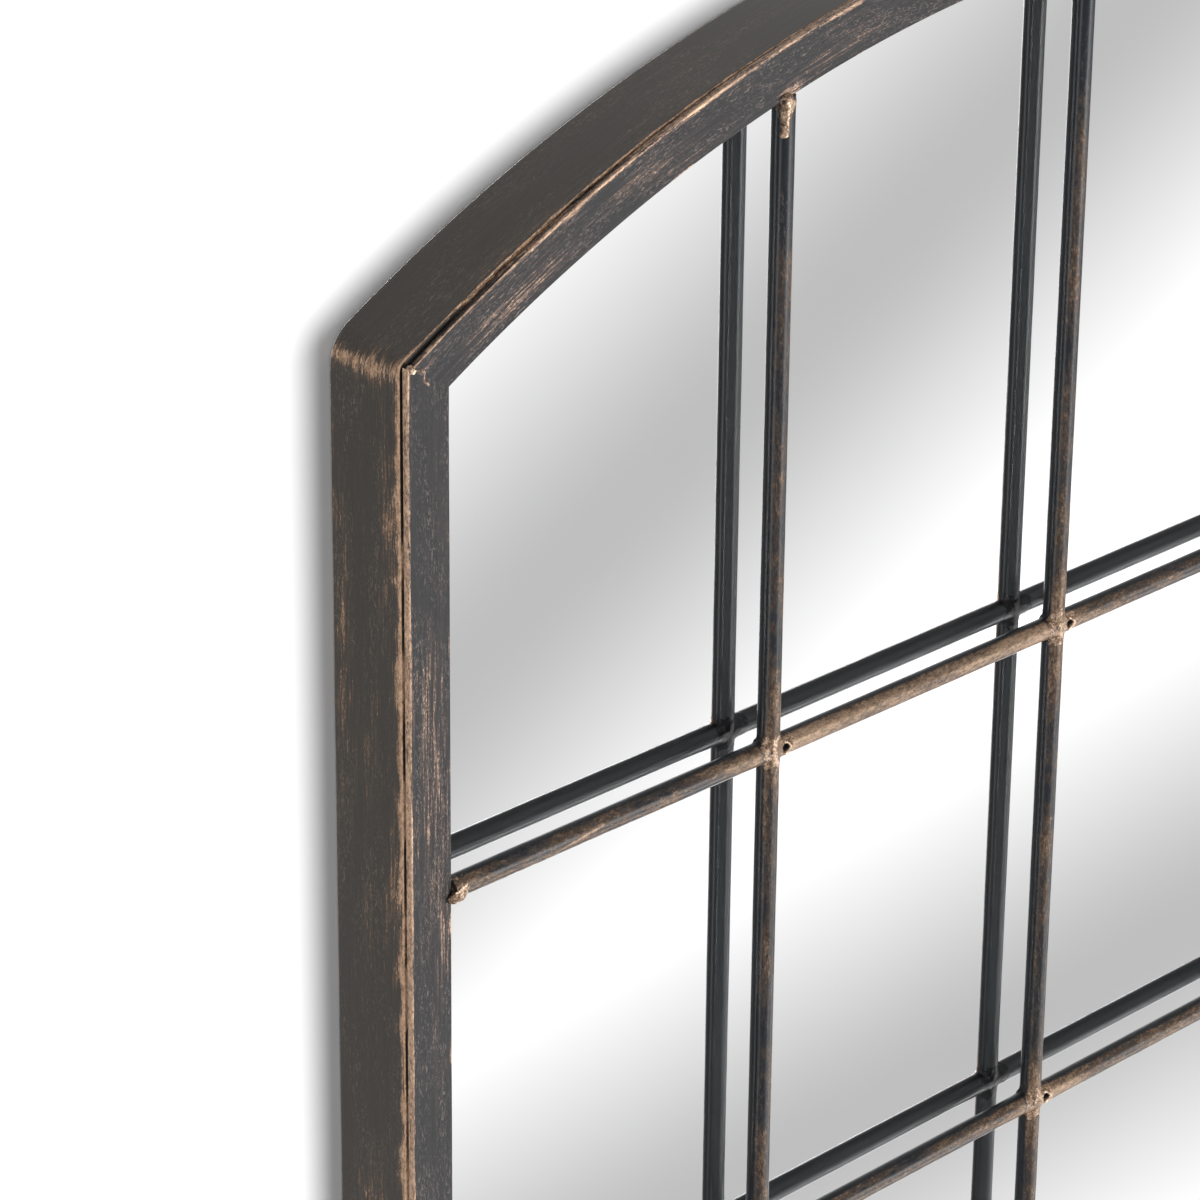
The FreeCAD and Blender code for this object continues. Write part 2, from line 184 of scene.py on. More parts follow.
def arch_height(x, inset):
    return ARCH_Z + math.sqrt((ARCH_RADIUS - inset) ** 2 - x ** 2)


def lerp(a, b, t):
    return a + (b - a) * t


def clamp(value, low=0.0, high=1.0):
    return max(low, min(high, value))


def smooth_step(low, high, value):
    t = clamp((value - low) / (high - low))
    return t * t * (3 - 2 * t)


def hump(value, centre, half_width):
    return math.exp(-((value - centre) / half_width) ** 2)


def wave(a, b, c=0.0):
    """Smooth noise from 0 to 1."""
    return clamp(0.5 + 0.5 * noise.noise(Vector((a, b, c))))


def steps(low, high, count):
    return [lerp(low, high, i / (count - 1)) for i in range(count)]


def mesh_piece(name, points, faces, lay, wear):
    """Mesh with its points in millimetres. lay is (along, across, depth) for brush marks.

    wear is 1 on rubbed metal and 0 on sound paint. Below 0 it paints shade in near-black, and above 1 it
    turns the copper paler, partly as a painted highlight."""
    mesh = bpy.data.meshes.new(name)
    mesh.from_pydata([[c * MM for c in p] for p in points], [], faces)
    brushed = mesh.attributes.new("lay", "FLOAT_VECTOR", "POINT")
    brushed.data.foreach_set("vector", [c for p in lay for c in p])
    mesh.attributes.new("wear", "FLOAT", "POINT").data.foreach_set("value", wear)
    mesh.polygons.foreach_set("use_smooth", [True] * len(mesh.polygons))
    mesh.update()
    piece = bpy.data.objects.new(name, mesh)
    bpy.context.scene.collection.objects.link(piece)
    return piece


def swept_piece(name, rings):
    """Closed skin over rings of (point, lay, wear), with flat ends."""
    size = len(rings[0])
    points, lay, wear = zip(*[item for ring in rings for item in ring])
    faces = []
    for i in range(len(rings) - 1):
        for j in range(size):
            k = (j + 1) % size
            faces.append((i * size + j, i * size + k, (i + 1) * size + k, (i + 1) * size + j))
    last = (len(rings) - 1) * size
    faces.append(tuple(reversed(range(size))))
    faces.append(tuple(last + j for j in range(size)))
    piece = mesh_piece(name, points, faces, lay, wear)
    for end in piece.data.polygons[-2:]:
        end.use_smooth = False
    bm = bmesh.new()
    bm.from_mesh(piece.data)
    bmesh.ops.recalc_face_normals(bm, faces=bm.faces)
    bm.to_mesh(piece.data)
    bm.free()
    piece.modifiers.new("even_normals", "WEIGHTED_NORMAL").keep_sharp = True
    return piece


def hand_over(piece, slot, finish, *nodes):
    """Gives a finished piece its finish, hides the frame nodes that it stands for and puts it under the
    mirror's body.
    """
    piece.data.materials.clear()
    piece.data.materials.append(finish)
    if nodes:
        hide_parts(*nodes)
    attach(piece, "mirror")


# Shader helpers

class Nodes:
    """A node tree under construction."""

    def __init__(self, tree):
        self.tree = tree

    def put(self, socket, value):
        if isinstance(value, bpy.types.NodeSocket):
            self.tree.links.new(value, socket)
        else:
            socket.default_value = value

    def add(self, kind, inputs=(), **settings):
        node = self.tree.nodes.new(kind)
        for key, value in settings.items():
            setattr(node, key, value)
        for key, value in dict(inputs).items():
            self.put(node.inputs[key], value)
        return node

    def math(self, operation, *values):
        return self.add("ShaderNodeMath", dict(enumerate(values)), operation=operation).outputs[0]

    def mix(self, factor, a, b):
        node = self.add("ShaderNodeMix", data_type="RGBA")
        self.put(node.inputs["Factor"], factor)
        for socket, value in ((node.inputs[6], a), (node.inputs[7], b)):
            self.put(socket, value if isinstance(value, bpy.types.NodeSocket) else (*value, 1.0))
        return node.outputs[2]


class Finish(Nodes):
    """A material under construction."""

    def __init__(self, name):
        self.material = bpy.data.materials.new(name)
        self.material.use_nodes = True
        super().__init__(self.material.node_tree)
        self.shader = self.tree.nodes["Principled BSDF"]

    def set(self, **inputs):
        for key, value in inputs.items():
            self.put(self.shader.inputs[key.replace("_", " ")], value)

    def attribute(self, name, output):
        return self.add("ShaderNodeAttribute", attribute_name=name).outputs[output]

    def normal(self, axis):
        normal = self.add("ShaderNodeNewGeometry").outputs["Normal"]
        return self.add("ShaderNodeSeparateXYZ", {0: normal}).outputs[axis]

    def object_place(self):
        return self.add("ShaderNodeTexCoord").outputs["Object"]

    def noise(self, place, scale, detail=3.0, roughness=0.55, warp=0.0):
        stretched = self.add("ShaderNodeMapping", {"Vector": place, "Scale": scale}).outputs["Vector"]
        inputs = {"Vector": stretched, "Scale": 1.0, "Detail": detail}
        inputs.update({"Roughness": roughness, "Distortion": warp})
        return self.add("ShaderNodeTexNoise", inputs).outputs["Fac"]

    def weighted(self, first, *others):
        """Sum of (value, share)."""
        total = self.math("MULTIPLY", *first)
        for part in others:
            total = self.math("ADD", total, self.math("MULTIPLY", *part))
        return total

    def spread(self, value, low, high, to_low, to_high):
        inputs = {"Value": value, "From Min": low, "From Max": high, "To Min": to_low, "To Max": to_high}
        return self.add("ShaderNodeMapRange", inputs).outputs["Result"]

    def ramp(self, value, stops, colours):
        node = self.add("ShaderNodeValToRGB", {"Fac": value})
        while len(node.color_ramp.elements) < len(stops):
            node.color_ramp.elements.new(0.5)
        for element, place, colour in zip(node.color_ramp.elements, stops, colours):
            element.position = place
            element.color = (*colour, 1.0)
        return node.outputs["Color"]

    def bump(self, height, strength, distance):
        inputs = {"Height": height, "Strength": strength, "Distance": distance * MM}
        return self.add("ShaderNodeBump", inputs).outputs["Normal"]


# Finishes. Noise scales are repeats per millimetre on the frame, and per metre on the parts shown as built

# Tones of rubbed copper from dark to pale. The pale end is brighter than bare copper: it paints a highlight
# on the most worn arrises and ridges, and paints light onto the flats' side-facing outer edges
COPPER_TONES = ((0.075, 0.043, 0.027), (0.285, 0.168, 0.104), (0.910, 0.610, 0.405))
ROSE_TONES = ((0.085, 0.059, 0.049), (0.250, 0.172, 0.134), (0.940, 0.640, 0.430))
BRONZE_TONES = ((0.032, 0.022, 0.017), (0.108, 0.072, 0.050), (0.400, 0.272, 0.178))
GOLD_TONES = ((0.060, 0.037, 0.024), (0.205, 0.128, 0.081), (0.950, 0.700, 0.495))
# Near-black that paints shade into the hollow of the gap beside the strip's front edge
PAINTED_SHADE_BLACK = (0.002, 0.002, 0.002)
MID_NOISE = (0.3, 0.7)

# Rubbed paint: brush marks, then how copper, stain and flecks fade in, then relief
GRAIN_SCALE = (1.0, 2.2, 2.2)
MOTTLE_SCALE = (0.40, 0.8, 0.8)
BROAD_SCALE = (0.030, 0.14, 0.14)
FLECK_SCALE = (0.40, 1.5, 1.5)
STROKE_SHARE = 0.60
DRAG_SHARE = 0.22
GRAIN_SHARE = 0.18
COPPER_FADE = (-0.005, 0.045)
COPPER_COVER = 0.95
COPPER_METAL = 0.4
STAIN_FADE = (-0.10, 0.0)
STAIN_COVER = 0.75
CLUSTER_FADE = (0.40, 0.60)
CLUSTER_LEAST = 0.10
FLECK_FADE = (0.555, 0.610)
FLECK_WEAR = (0.03, 0.12)
TONE_GRAIN = 0.50
TONE_MOTTLE = 0.60
# Wear shifts the copper's tone paler; past 1 this is a painted highlight
TONE_BY_WEAR_AND_HIGHLIGHT = (0.40, 1.3)
TONE_STOPS = (0.36, 0.52, 0.80)
COAT_STOPS = (0.30, 0.70)
COAT_SHADES = (0.78, 1.25)
BACK_FADE = (0.1, 0.8)
ROUGH_FADE = (0.3, 1.6)
ROUGHER = 0.15
STROKE_RELIEF = 0.6
COPPER_RELIEF = -0.15
PAINT_DEPTH = 0.16

# Weld beads
BEAD_BLACK = (0.012, 0.013, 0.016)
LUMP_SCALE = (0.45, 0.45, 0.45)
BEAD_GRAIN_SCALE = (1.7, 1.7, 1.7)
LUMP_UNEVEN = 0.18
BEAD_GRAIN_UNEVEN = 0.26
BEAD_FADE = (0.22, 0.60)
BEAD_LUMP_TONE = 0.45
BEAD_GRAIN_TONE = 0.60
# Wear shifts a bead's tone paler; past 1, on ridges, this is a painted highlight
BEAD_TONE_BY_WEAR_AND_HIGHLIGHT = (0.6, 1.4)
BEAD_BRIGHTER = (-0.08, 0.26)
BEAD_STOPS = (0.34, 0.50, 0.72)
BEAD_METAL = 0.35
BEAD_ROUGHNESS = (0.27, 0.42)
BEAD_RELIEF = 0.4
BEAD_DEPTH = 0.35

# Mirror: front, cut edge and back
SILVER_SCALE = (9, 9, 9)
SILVER_TINTS = ((0.940, 0.940, 0.942), (0.955, 0.955, 0.957))
CUT_SCALE = (60, 300, 60)
CUT_TINTS = ((0.05, 0.12, 0.10), (0.12, 0.24, 0.20))
BACKING_SCALE = (260, 260, 260)
BACKING_TINTS = ((0.19, 0.20, 0.20), (0.25, 0.26, 0.26))
TINT_STOPS = (0.35, 0.7)
FACE_LIMIT = 0.5
BACKING_ROUGHNESS = 0.35

# Plain grained stuff
PATCH_SCALE = (14, 14, 14)
SPECK_SHARE = 0.7
PATCH_SHARE = 0.3
SPECK_STOPS = (0.36, 0.64)
SPECK_ROUGHNESS = 0.07
SPECK_RELIEF = 0.4


def rubbed_paint(name, paint, stain, metal, fleck, limits, stroke, drag, polish, sheen, behind, brighter):
    """Satin black paint rubbed through to copper in dry strokes along the piece, most where it is worn.

    limits are the streak levels that show copper at no wear and at full wear, polish is (roughness, shine,
    relief), behind is the paint's colour on faces turned to the wall, on the bars a grey far lighter than
    their paint that paints in light on their backs as the mirror shows them, and brighter shifts the copper's
    tone at little and at much wear, towards the pale end where worn past 1, partly a painted highlight."""
    f = Finish(name)
    lay = f.attribute("lay", "Vector")
    wear = f.attribute("wear", "Fac")
    roughness, shine, relief = polish
    short = f.noise(lay, stroke, detail=4.0, roughness=0.65, warp=0.5)
    drawn = f.noise(lay, drag, roughness=0.6)
    grain = f.noise(lay, GRAIN_SCALE, detail=2.0, roughness=0.7)
    mottle = f.noise(lay, MOTTLE_SCALE, detail=2.0, roughness=0.6, warp=0.6)
    broad = f.noise(lay, BROAD_SCALE, detail=2.0)
    streak = f.weighted((short, STROKE_SHARE), (drawn, DRAG_SHARE), (grain, GRAIN_SHARE))
    above = f.math("SUBTRACT", streak, f.spread(wear, 0.0, 1.0, *limits))
    copper_mask = f.spread(above, *COPPER_FADE, 0.0, COPPER_COVER)
    stain_mask = f.spread(above, *STAIN_FADE, 0.0, STAIN_COVER)
    flecks = f.noise(lay, FLECK_SCALE, roughness=0.7, warp=1.3)
    cluster = f.spread(broad, *CLUSTER_FADE, CLUSTER_LEAST, 1.0)
    cluster = f.math("MULTIPLY", cluster, f.spread(wear, *FLECK_WEAR, 0.0, 1.0))
    fleck_mask = f.math("MULTIPLY", f.spread(flecks, *FLECK_FADE, 0.0, 1.0), cluster)
    tone = f.weighted((grain, TONE_GRAIN), (mottle, TONE_MOTTLE))
    tone = f.math("ADD", tone, f.spread(wear, *TONE_BY_WEAR_AND_HIGHLIGHT, *brighter))
    copper = f.ramp(tone, TONE_STOPS, metal)
    coat = f.ramp(drawn, COAT_STOPS, [[c * shade for c in paint] for shade in COAT_SHADES])
    # Faces turned to the wall take the behind colour; on the bars this is lighter than their paint, painted
    # light on their backs as the mirror shows them
    coat = f.mix(f.spread(f.normal("Y"), *BACK_FADE, 0.0, 1.0), coat, behind)
    # Wear below 0 fades the coat to near-black: painted shade in the gap's hollow
    coat = f.mix(f.spread(wear, -1.0, 0.0, 1.0, 0.0), coat, PAINTED_SHADE_BLACK)
    worn = f.mix(fleck_mask, f.mix(stain_mask, coat, stain), fleck)
    f.set(Base_Color=f.mix(copper_mask, worn, copper), Metallic=f.math("MULTIPLY", copper_mask, COPPER_METAL))
    rough = f.math("ADD", grain, copper_mask)
    f.set(Roughness=f.spread(rough, *ROUGH_FADE, roughness, roughness + ROUGHER))
    f.put(f.shader.inputs["Specular IOR Level"], shine)
    f.set(Specular_Tint=(*sheen, 1.0))
    height = f.weighted((short, STROKE_RELIEF), (copper_mask, COPPER_RELIEF))
    f.set(Normal=f.bump(height, relief, PAINT_DEPTH))
    return f.material


def lumpy_copper(name):
    """Weld beads: bronze on the rubbed fronts, pale on the ridges, partly as a painted highlight, satin black
    in the hollows and behind.
    """
    f = Finish(name)
    lay = f.attribute("lay", "Vector")
    wear = f.attribute("wear", "Fac")
    lumps = f.noise(lay, LUMP_SCALE)
    grain = f.noise(lay, BEAD_GRAIN_SCALE, roughness=0.65)
    uneven = f.math("ADD", f.spread(lumps, *MID_NOISE, -LUMP_UNEVEN, LUMP_UNEVEN),
                    f.spread(grain, *MID_NOISE, -BEAD_GRAIN_UNEVEN, BEAD_GRAIN_UNEVEN))
    rubbed = f.spread(f.math("ADD", wear, uneven), *BEAD_FADE, 0.0, 1.0)
    tone = f.weighted((lumps, BEAD_LUMP_TONE), (grain, BEAD_GRAIN_TONE))
    tone = f.math("ADD", tone, f.spread(wear, *BEAD_TONE_BY_WEAR_AND_HIGHLIGHT, *BEAD_BRIGHTER))
    copper = f.ramp(tone, BEAD_STOPS, GOLD_TONES)
    f.set(Base_Color=f.mix(rubbed, BEAD_BLACK, copper), Metallic=f.math("MULTIPLY", rubbed, BEAD_METAL))
    f.set(Roughness=f.spread(grain, *MID_NOISE, *BEAD_ROUGHNESS))
    f.set(Normal=f.bump(lumps, BEAD_RELIEF, BEAD_DEPTH))
    return f.material


def mirror_finish():
    """Silvered glass: clear reflection on the front, grey backing paint behind, greenish cut edges."""
    f = Finish("silvered_glass")
    place = f.object_place()
    is_front = f.math("LESS_THAN", f.normal("Y"), -FACE_LIMIT)
    is_back = f.math("GREATER_THAN", f.normal("Y"), FACE_LIMIT)
    tint = f.ramp(f.noise(place, SILVER_SCALE, detail=2.0), MID_NOISE, SILVER_TINTS)
    edge = f.ramp(f.noise(place, CUT_SCALE), TINT_STOPS, CUT_TINTS)
    paint = f.ramp(f.noise(place, BACKING_SCALE), TINT_STOPS, BACKING_TINTS)
    f.set(Base_Color=f.mix(is_front, f.mix(is_back, edge, paint), tint), Metallic=is_front)
    f.set(Roughness=f.spread(is_front, 0.0, 1.0, BACKING_ROUGHNESS, 0.0))
    return f.material


def speckled(name, dark, light, scale, roughness, depth, metallic=0.0):
    """Plain stuff with a fine grain: painted, pressed or foamed."""
    f = Finish(name)
    place = f.object_place()
    grain = f.noise(place, (scale, scale, scale), detail=4.0, roughness=0.65)
    broad = f.noise(place, PATCH_SCALE, detail=2.0)
    value = f.weighted((grain, SPECK_SHARE), (broad, PATCH_SHARE))
    f.set(Base_Color=f.ramp(value, SPECK_STOPS, (dark, light)), Metallic=metallic)
    f.set(Roughness=f.spread(grain, *MID_NOISE, roughness - SPECK_ROUGHNESS, roughness + SPECK_ROUGHNESS))
    f.set(Normal=f.bump(grain, SPECK_RELIEF, depth))
    return f.material


BAND_PAINT = rubbed_paint(
    "rubbed_strip", paint=(0.0240, 0.0195, 0.0150), stain=(0.065, 0.046, 0.034), metal=COPPER_TONES,
    fleck=(0.160, 0.122, 0.097), limits=(0.68, 0.37), stroke=(0.080, 1.25, 1.25), drag=(0.018, 0.5, 0.5),
    polish=(0.36, 0.44, 0.5), sheen=(1.0, 0.92, 0.83), behind=(0.024, 0.020, 0.016), brighter=(-0.10, 0.32))
FLAT_PAINT = rubbed_paint(
    "rubbed_flat", paint=(0.0235, 0.0235, 0.0250), stain=(0.046, 0.038, 0.036), metal=ROSE_TONES,
    fleck=(0.165, 0.135, 0.122), limits=(0.68, 0.36), stroke=(0.052, 1.15, 1.15), drag=(0.020, 0.5, 0.5),
    polish=(0.34, 0.20, 0.5), sheen=(1.0, 0.97, 0.97), behind=(0.016, 0.016, 0.018), brighter=(-0.10, 0.32))
# The bars' behind grey is far lighter than their paint: painted light on their backs as the mirror shows them
BAR_PAINT = rubbed_paint(
    "rubbed_bar", paint=(0.0125, 0.0145, 0.0180), stain=(0.055, 0.042, 0.035), metal=BRONZE_TONES,
    fleck=(0.095, 0.076, 0.067), limits=(0.86, 0.33), stroke=(0.26, 0.8, 0.8), drag=(0.045, 0.35, 0.35),
    polish=(0.28, 0.44, 0.03), sheen=(0.94, 0.97, 1.0), behind=(0.085, 0.090, 0.092), brighter=(-0.19, 0.20))
WELD_METAL = lumpy_copper("rubbed_weld")


# Side strip

BOTTOM_STEPS = 40
FOOT_STEPS = 7
STILE_STEPS = 170
BEND_STEPS = 15
ARCH_STEPS = 170
BEND_MIDDLE = (BOTTOM_STEPS - 1) + (FOOT_STEPS - 1) + (STILE_STEPS - 1) + BEND_STEPS // 2
BAND_WAVE_ALONG = 38.0
BAND_WAVE_ACROSS = 21.0

# Rows down the strip's side: (distance behind its front edge, share of the gap that moves it back)
BAND_ROWS = [(0.8, 1.0), (1.5, 1.0), (2.6, 1.0), (4.5, 0.8), (7.5, 0.4), (11.0, 0.0),
             (15.0, 0.0), (20.0, 0.0), (26.0, 0.0), (28.5, 0.0)]
EASE_TURN = 0.3
GAP_FLOOR = 0.9
GAP_UNEVEN = (0.75, 1.25)
GAP_UNEVEN_LENGTH = 60.0
GAP_SEED = 17.0
GAP_NARROWS = (-3.0, 3.0)

# Wear in the gap: painted shade in near-black beside the upper corners, stain further down, copper where it
# is filled or closed
GAP_FACE = 0.6 * BAND_EASE
GAP_PAINTED_SHADE = -0.65
GAP_STAIN = 0.2
GAP_STAIN_RUN = (25.0, 80.0)
GAP_COPPER = (0.95, 0.68)
GAP_COPPER_RUN = (8.0, 0.7 * GAP_CLOSES)
FILL_LEVEL = (0.38, 0.62)
FILL_LENGTH = 21.0
FILL_RUN = (30.0, 60.0)

# Wear on the strip's side: its front edge, the bend, scratches past the bend and the broad face
ARCH_RUN = (0.0, 12.0)
EDGE_RUB = 0.96
EDGE_SHARPNESS = 1.8
EDGE_REACH_STILE = (2.2, 5.8)
EDGE_REACH_ARCH = (0.45, 1.15)
RAGGED_LEVEL = (0.40, 0.78)
RAGGED_LENGTH = 9.0
RAGGED_SEED = 3.1
BEND_RUB = 0.80
BEND_RUB_CENTRE = -2.8
BEND_FRINGE = (6.0, 3.4)
FRINGE_UNEVEN = (0.75, 1.25)
FRINGE_LENGTH = 2.5
FRINGE_SEED = 8.0
SCRATCH_RUB = 0.48
SCRATCH_ACROSS = (2.5, 5.0)
SCRATCH_ALONG = (62.0, 45.0)
SIDE_RUB = (0.08, 0.60)
SIDE_LEVEL = (0.42, 0.78)
SIDE_LENGTH = 60.0
SIDE_WIDTH = 9.0
SIDE_SEED = 5.0
SIDE_ARCH_SHARE = 0.5


def band_path(inset, bend_inside):
    """(x, z) along the strip from the right of its seam round to the left, with a fixed number of points."""
    half, low = HALF - inset, BOTTOM_Z + inset
    foot = BOTTOM_BEND_INSIDE + BAND_THICK - inset
    top = BAND_THICK + bend_inside - inset
    bend_x = HALF - BAND_THICK - bend_inside
    bend_z = ARCH_Z + math.sqrt((ARCH_RADIUS - BAND_THICK - bend_inside) ** 2 - bend_x ** 2)
    tilt = math.atan2(bend_x, bend_z - ARCH_Z)
    right = [(x, low) for x in steps(BAND_SEAM / 2, half - foot, BOTTOM_STEPS)]
    for angle in steps(-math.pi / 2, 0, FOOT_STEPS)[1:]:
        right.append((half - foot + foot * math.cos(angle), low + foot + foot * math.sin(angle)))
    right += [(half, z) for z in steps(low + foot, bend_z, STILE_STEPS)[1:]]
    for angle in steps(0, math.pi / 2 - tilt, BEND_STEPS)[1:]:
        right.append((bend_x + top * math.cos(angle), bend_z + top * math.sin(angle)))
    arch = []
    for angle in steps(tilt, -tilt, ARCH_STEPS)[1:-1]:
        radius = ARCH_RADIUS - inset
        arch.append((radius * math.sin(angle), ARCH_Z + radius * math.cos(angle)))
    return right + arch + [(-x, z) for x, z in reversed(right)]


def band_section():
    """(inset, y, share of the gap that moves it back) round the strip's section."""
    ease, turn = BAND_EASE, EASE_TURN * BAND_EASE
    front, back = FLAT_BACK_Y, 0.0
    side = [(front + ease, 1.0)] + [(front + drop, share) for drop, share in BAND_ROWS] + [(back - ease, 0.0)]
    outer = [(0.0, y, share) for y, share in side]
    turn_back = [(turn, back - turn, 0.0), (ease, back, 0.0), (BAND_THICK - ease, back, 0.0),
                 (BAND_THICK - turn, back - turn, 0.0)]
    inner = [(BAND_THICK, y, 0.0) for y, _ in reversed(side)]
    land = [(BAND_THICK - turn, front + turn, 0.0), (BAND_THICK - ease, front, 0.0), (GAP_DEEP, front, 0.0)]
    gap = [(GAP_DEEP, front, GAP_FLOOR), (ease, front, 1.0), (turn, front + turn, 1.0)]
    return outer + turn_back + inner + land + gap


def gap_width(along, from_bend):
    """Width of the gap, steady along the stiles and closing with distance past the upper bend."""
    uneven = lerp(*GAP_UNEVEN, wave(along / GAP_UNEVEN_LENGTH, GAP_SEED))
    over_arch = max(GAP_LEAST, GAP_ARCH * (1 - from_bend / GAP_CLOSES))
    return uneven * lerp(GAP_STILE, over_arch, smooth_step(*GAP_NARROWS, from_bend))


# Below 0 this paints shade in near-black, in the gap beside the upper corners
def gap_wear_and_painted_shade(along, from_bend, on_arch):
    filled = smooth_step(*FILL_LEVEL, wave(along / FILL_LENGTH, GAP_SEED))
    filled *= smooth_step(*FILL_RUN, -from_bend)
    closed = smooth_step(*GAP_COPPER_RUN, from_bend)
    dark = lerp(GAP_PAINTED_SHADE, GAP_STAIN, smooth_step(*GAP_STAIN_RUN, -from_bend))
    return lerp(dark, lerp(*GAP_COPPER, on_arch), max(filled, closed))


def band_wear_and_painted_shade(inset, from_edge, y, along, from_bend):
    """Rubbed along the front edge and across the upper bends, little on the flat of the strip, with shade
    painted in near-black in the gap beside the upper corners.
    """
    on_arch = smooth_step(*ARCH_RUN, from_bend)
    if inset > GAP_FACE:
        return gap_wear_and_painted_shade(along, from_bend, on_arch) if from_edge < BAND_EASE else 0.0
    ragged = smooth_step(*RAGGED_LEVEL, wave(along / RAGGED_LENGTH, RAGGED_SEED))
    reach = lerp(lerp(*EDGE_REACH_STILE, ragged), lerp(*EDGE_REACH_ARCH, ragged), on_arch)
    edge = EDGE_RUB * math.exp(-(max(from_edge, 0.0) / reach) ** EDGE_SHARPNESS)
    fringe = lerp(*BEND_FRINGE, from_edge / BAND_WIDTH)
    fringe *= lerp(*FRINGE_UNEVEN, wave(y / FRINGE_LENGTH, FRINGE_SEED))
    patch = BEND_RUB * hump(from_bend, BEND_RUB_CENTRE, fringe)
    scratches = SCRATCH_RUB * hump(from_edge, *SCRATCH_ACROSS) * hump(from_bend, *SCRATCH_ALONG)
    face = lerp(*SIDE_RUB, smooth_step(*SIDE_LEVEL, wave(along / SIDE_LENGTH, y / SIDE_WIDTH, SIDE_SEED)))
    return clamp(max(edge, patch, scratches, face * lerp(1.0, SIDE_ARCH_SHARE, on_arch)))


def side_band():
    columns = []
    for inset, y, share in band_section():
        bend = lerp(BEND_INSIDE_FRONT, BEND_INSIDE_WALL, (y - FLAT_BACK_Y) / BAND_WIDTH)
        outer, inner = band_path(0.0, bend), band_path(BAND_THICK, bend)
        along = [0.0]
        for p, q in zip(outer, outer[1:]):
            along.append(along[-1] + math.dist(p, q))
        columns.append((inset, y, share, outer, inner, along))
    rings = []
    for i in range(len(columns[0][3])):
        ring = []
        for inset, y, moved, outer, inner, along in columns:
            s = along[i]
            from_bend = min(s - along[BEND_MIDDLE], along[-1 - BEND_MIDDLE] - s)
            gap = gap_width(s, from_bend)
            dent = BAND_WAVE * wave(s / BAND_WAVE_ALONG, y / BAND_WAVE_ACROSS)
            share = (inset + dent) / BAND_THICK
            x, z = lerp(outer[i][0], inner[i][0], share), lerp(outer[i][1], inner[i][1], share)
            depth = y + moved * gap
            worn = band_wear_and_painted_shade(inset, depth - FLAT_BACK_Y - gap, y, s, from_bend)
            ring.append(((x, depth, z), (s, inset, y), worn))
        rings.append(ring)
    piece = swept_piece("strip_on_edge", rings)
    hand_over(piece, "bronzed_frame", BAND_PAINT, "side_band")


# Front flats

FLAT_STEP = 4.0
FLAT_ENDS = (0.0012, 0.004)
FLAT_ROWS = [0.8, 1.2, 1.7, 2.4, 4.0, 6.5, 8.5, 10.5, 13.0, 14.8, FLAT_WIDTH - 1.2]
ARRIS_POINTS = 5
FLAT_WAVE_ALONG = 30.0
FLAT_WAVE_ACROSS = 12.0

# Where the faces were rubbed most: (place along, half length, line across, half width, strength)
STILE_RUBS = [(-70.0, 70.0, 10.0, 10.0, 0.56), (-45.0, 40.0, 7.0, 4.0, 0.60), (-118.0, 24.0, 14.0, 4.0, 0.60),
              (-119.0, 8.0, 16.7, 1.3, 0.95),
              (-420.0, 80.0, 9.0, 8.0, 0.52), (-690.0, 60.0, 11.0, 8.0, 0.54)]
ARCH_RUBS = [(-268.0, 40.0, 11.0, 6.0, 0.60), (-205.0, 34.0, 8.0, 6.0, 0.50), (-120.0, 45.0, 11.0, 6.0, 0.46),
             (-145.0, 9.0, 15.5, 3.5, 0.74),
             (60.0, 60.0, 10.0, 6.0, 0.46), (240.0, 45.0, 12.0, 6.0, 0.55)]
RAIL_RUBS = [(-180.0, 60.0, 9.0, 8.0, 0.52), (120.0, 80.0, 8.0, 8.0, 0.54)]

# Outer edge: (wear, reach of its arris), on stiles and rail, then on the arch beside and beyond the corner
STEADY_EDGE = (0.86, 0.75)
CORNER_EDGE = (0.30, 0.4)
BEYOND_EDGE = (0.68, 1.7)
BEYOND_RUN = (14.0, 60.0)
OUTER_LIMIT = 0.1
OUTER_UNEVEN = (0.82, 1.18)
OUTER_LENGTH = 6.0
OUTER_DEPTH = 0.8
# Arrises worn past 1 take the palest copper: bare metal and a painted highlight along the edge
ARRIS_RUB_AND_HIGHLIGHT = (0.68, 1.04)
ARRIS_LEVEL = (0.3, 0.7)
ARRIS_LENGTH = 24.0
ARRIS_DEPTH = (0.1, 0.55)
ARRIS_UNEVEN = (0.6, 1.4)
ARRIS_UNEVEN_LENGTH = 13.0

# Inner arris and face
INNER_RUB = (0.15, 0.90)
INNER_LEVEL = (0.35, 0.8)
INNER_LENGTH = 17.0
INNER_REACH = 1.3
FACE_RUB = (0.10, 0.42)
FACE_LEVEL = (0.42, 0.8)
FACE_LENGTH = 55.0
FACE_WIDTH = 7.0
# Wear may reach past 1 on the flats, where the copper turns pale as a painted highlight
MOST_WEAR_AND_HIGHLIGHT = 1.3


def flat_section():
    """(across from the outside, depth behind the front) round the flat's section."""
    ease, rim, back = FLAT_EASE, FLAT_RIM, FLAT_THICK
    arc = [(ease * (1 - math.sin(a)), ease * (1 - math.cos(a))) for a in steps(0, math.pi / 2, ARRIS_POINTS)]
    front = [(across, 0.0) for across in FLAT_ROWS]
    inner = [(FLAT_WIDTH - across, depth) for across, depth in arc]
    behind = [(FLAT_WIDTH, back - rim), (FLAT_WIDTH - rim, back), (rim, back), (0.0, back - rim)]
    return arc[::-1] + front + inner + behind


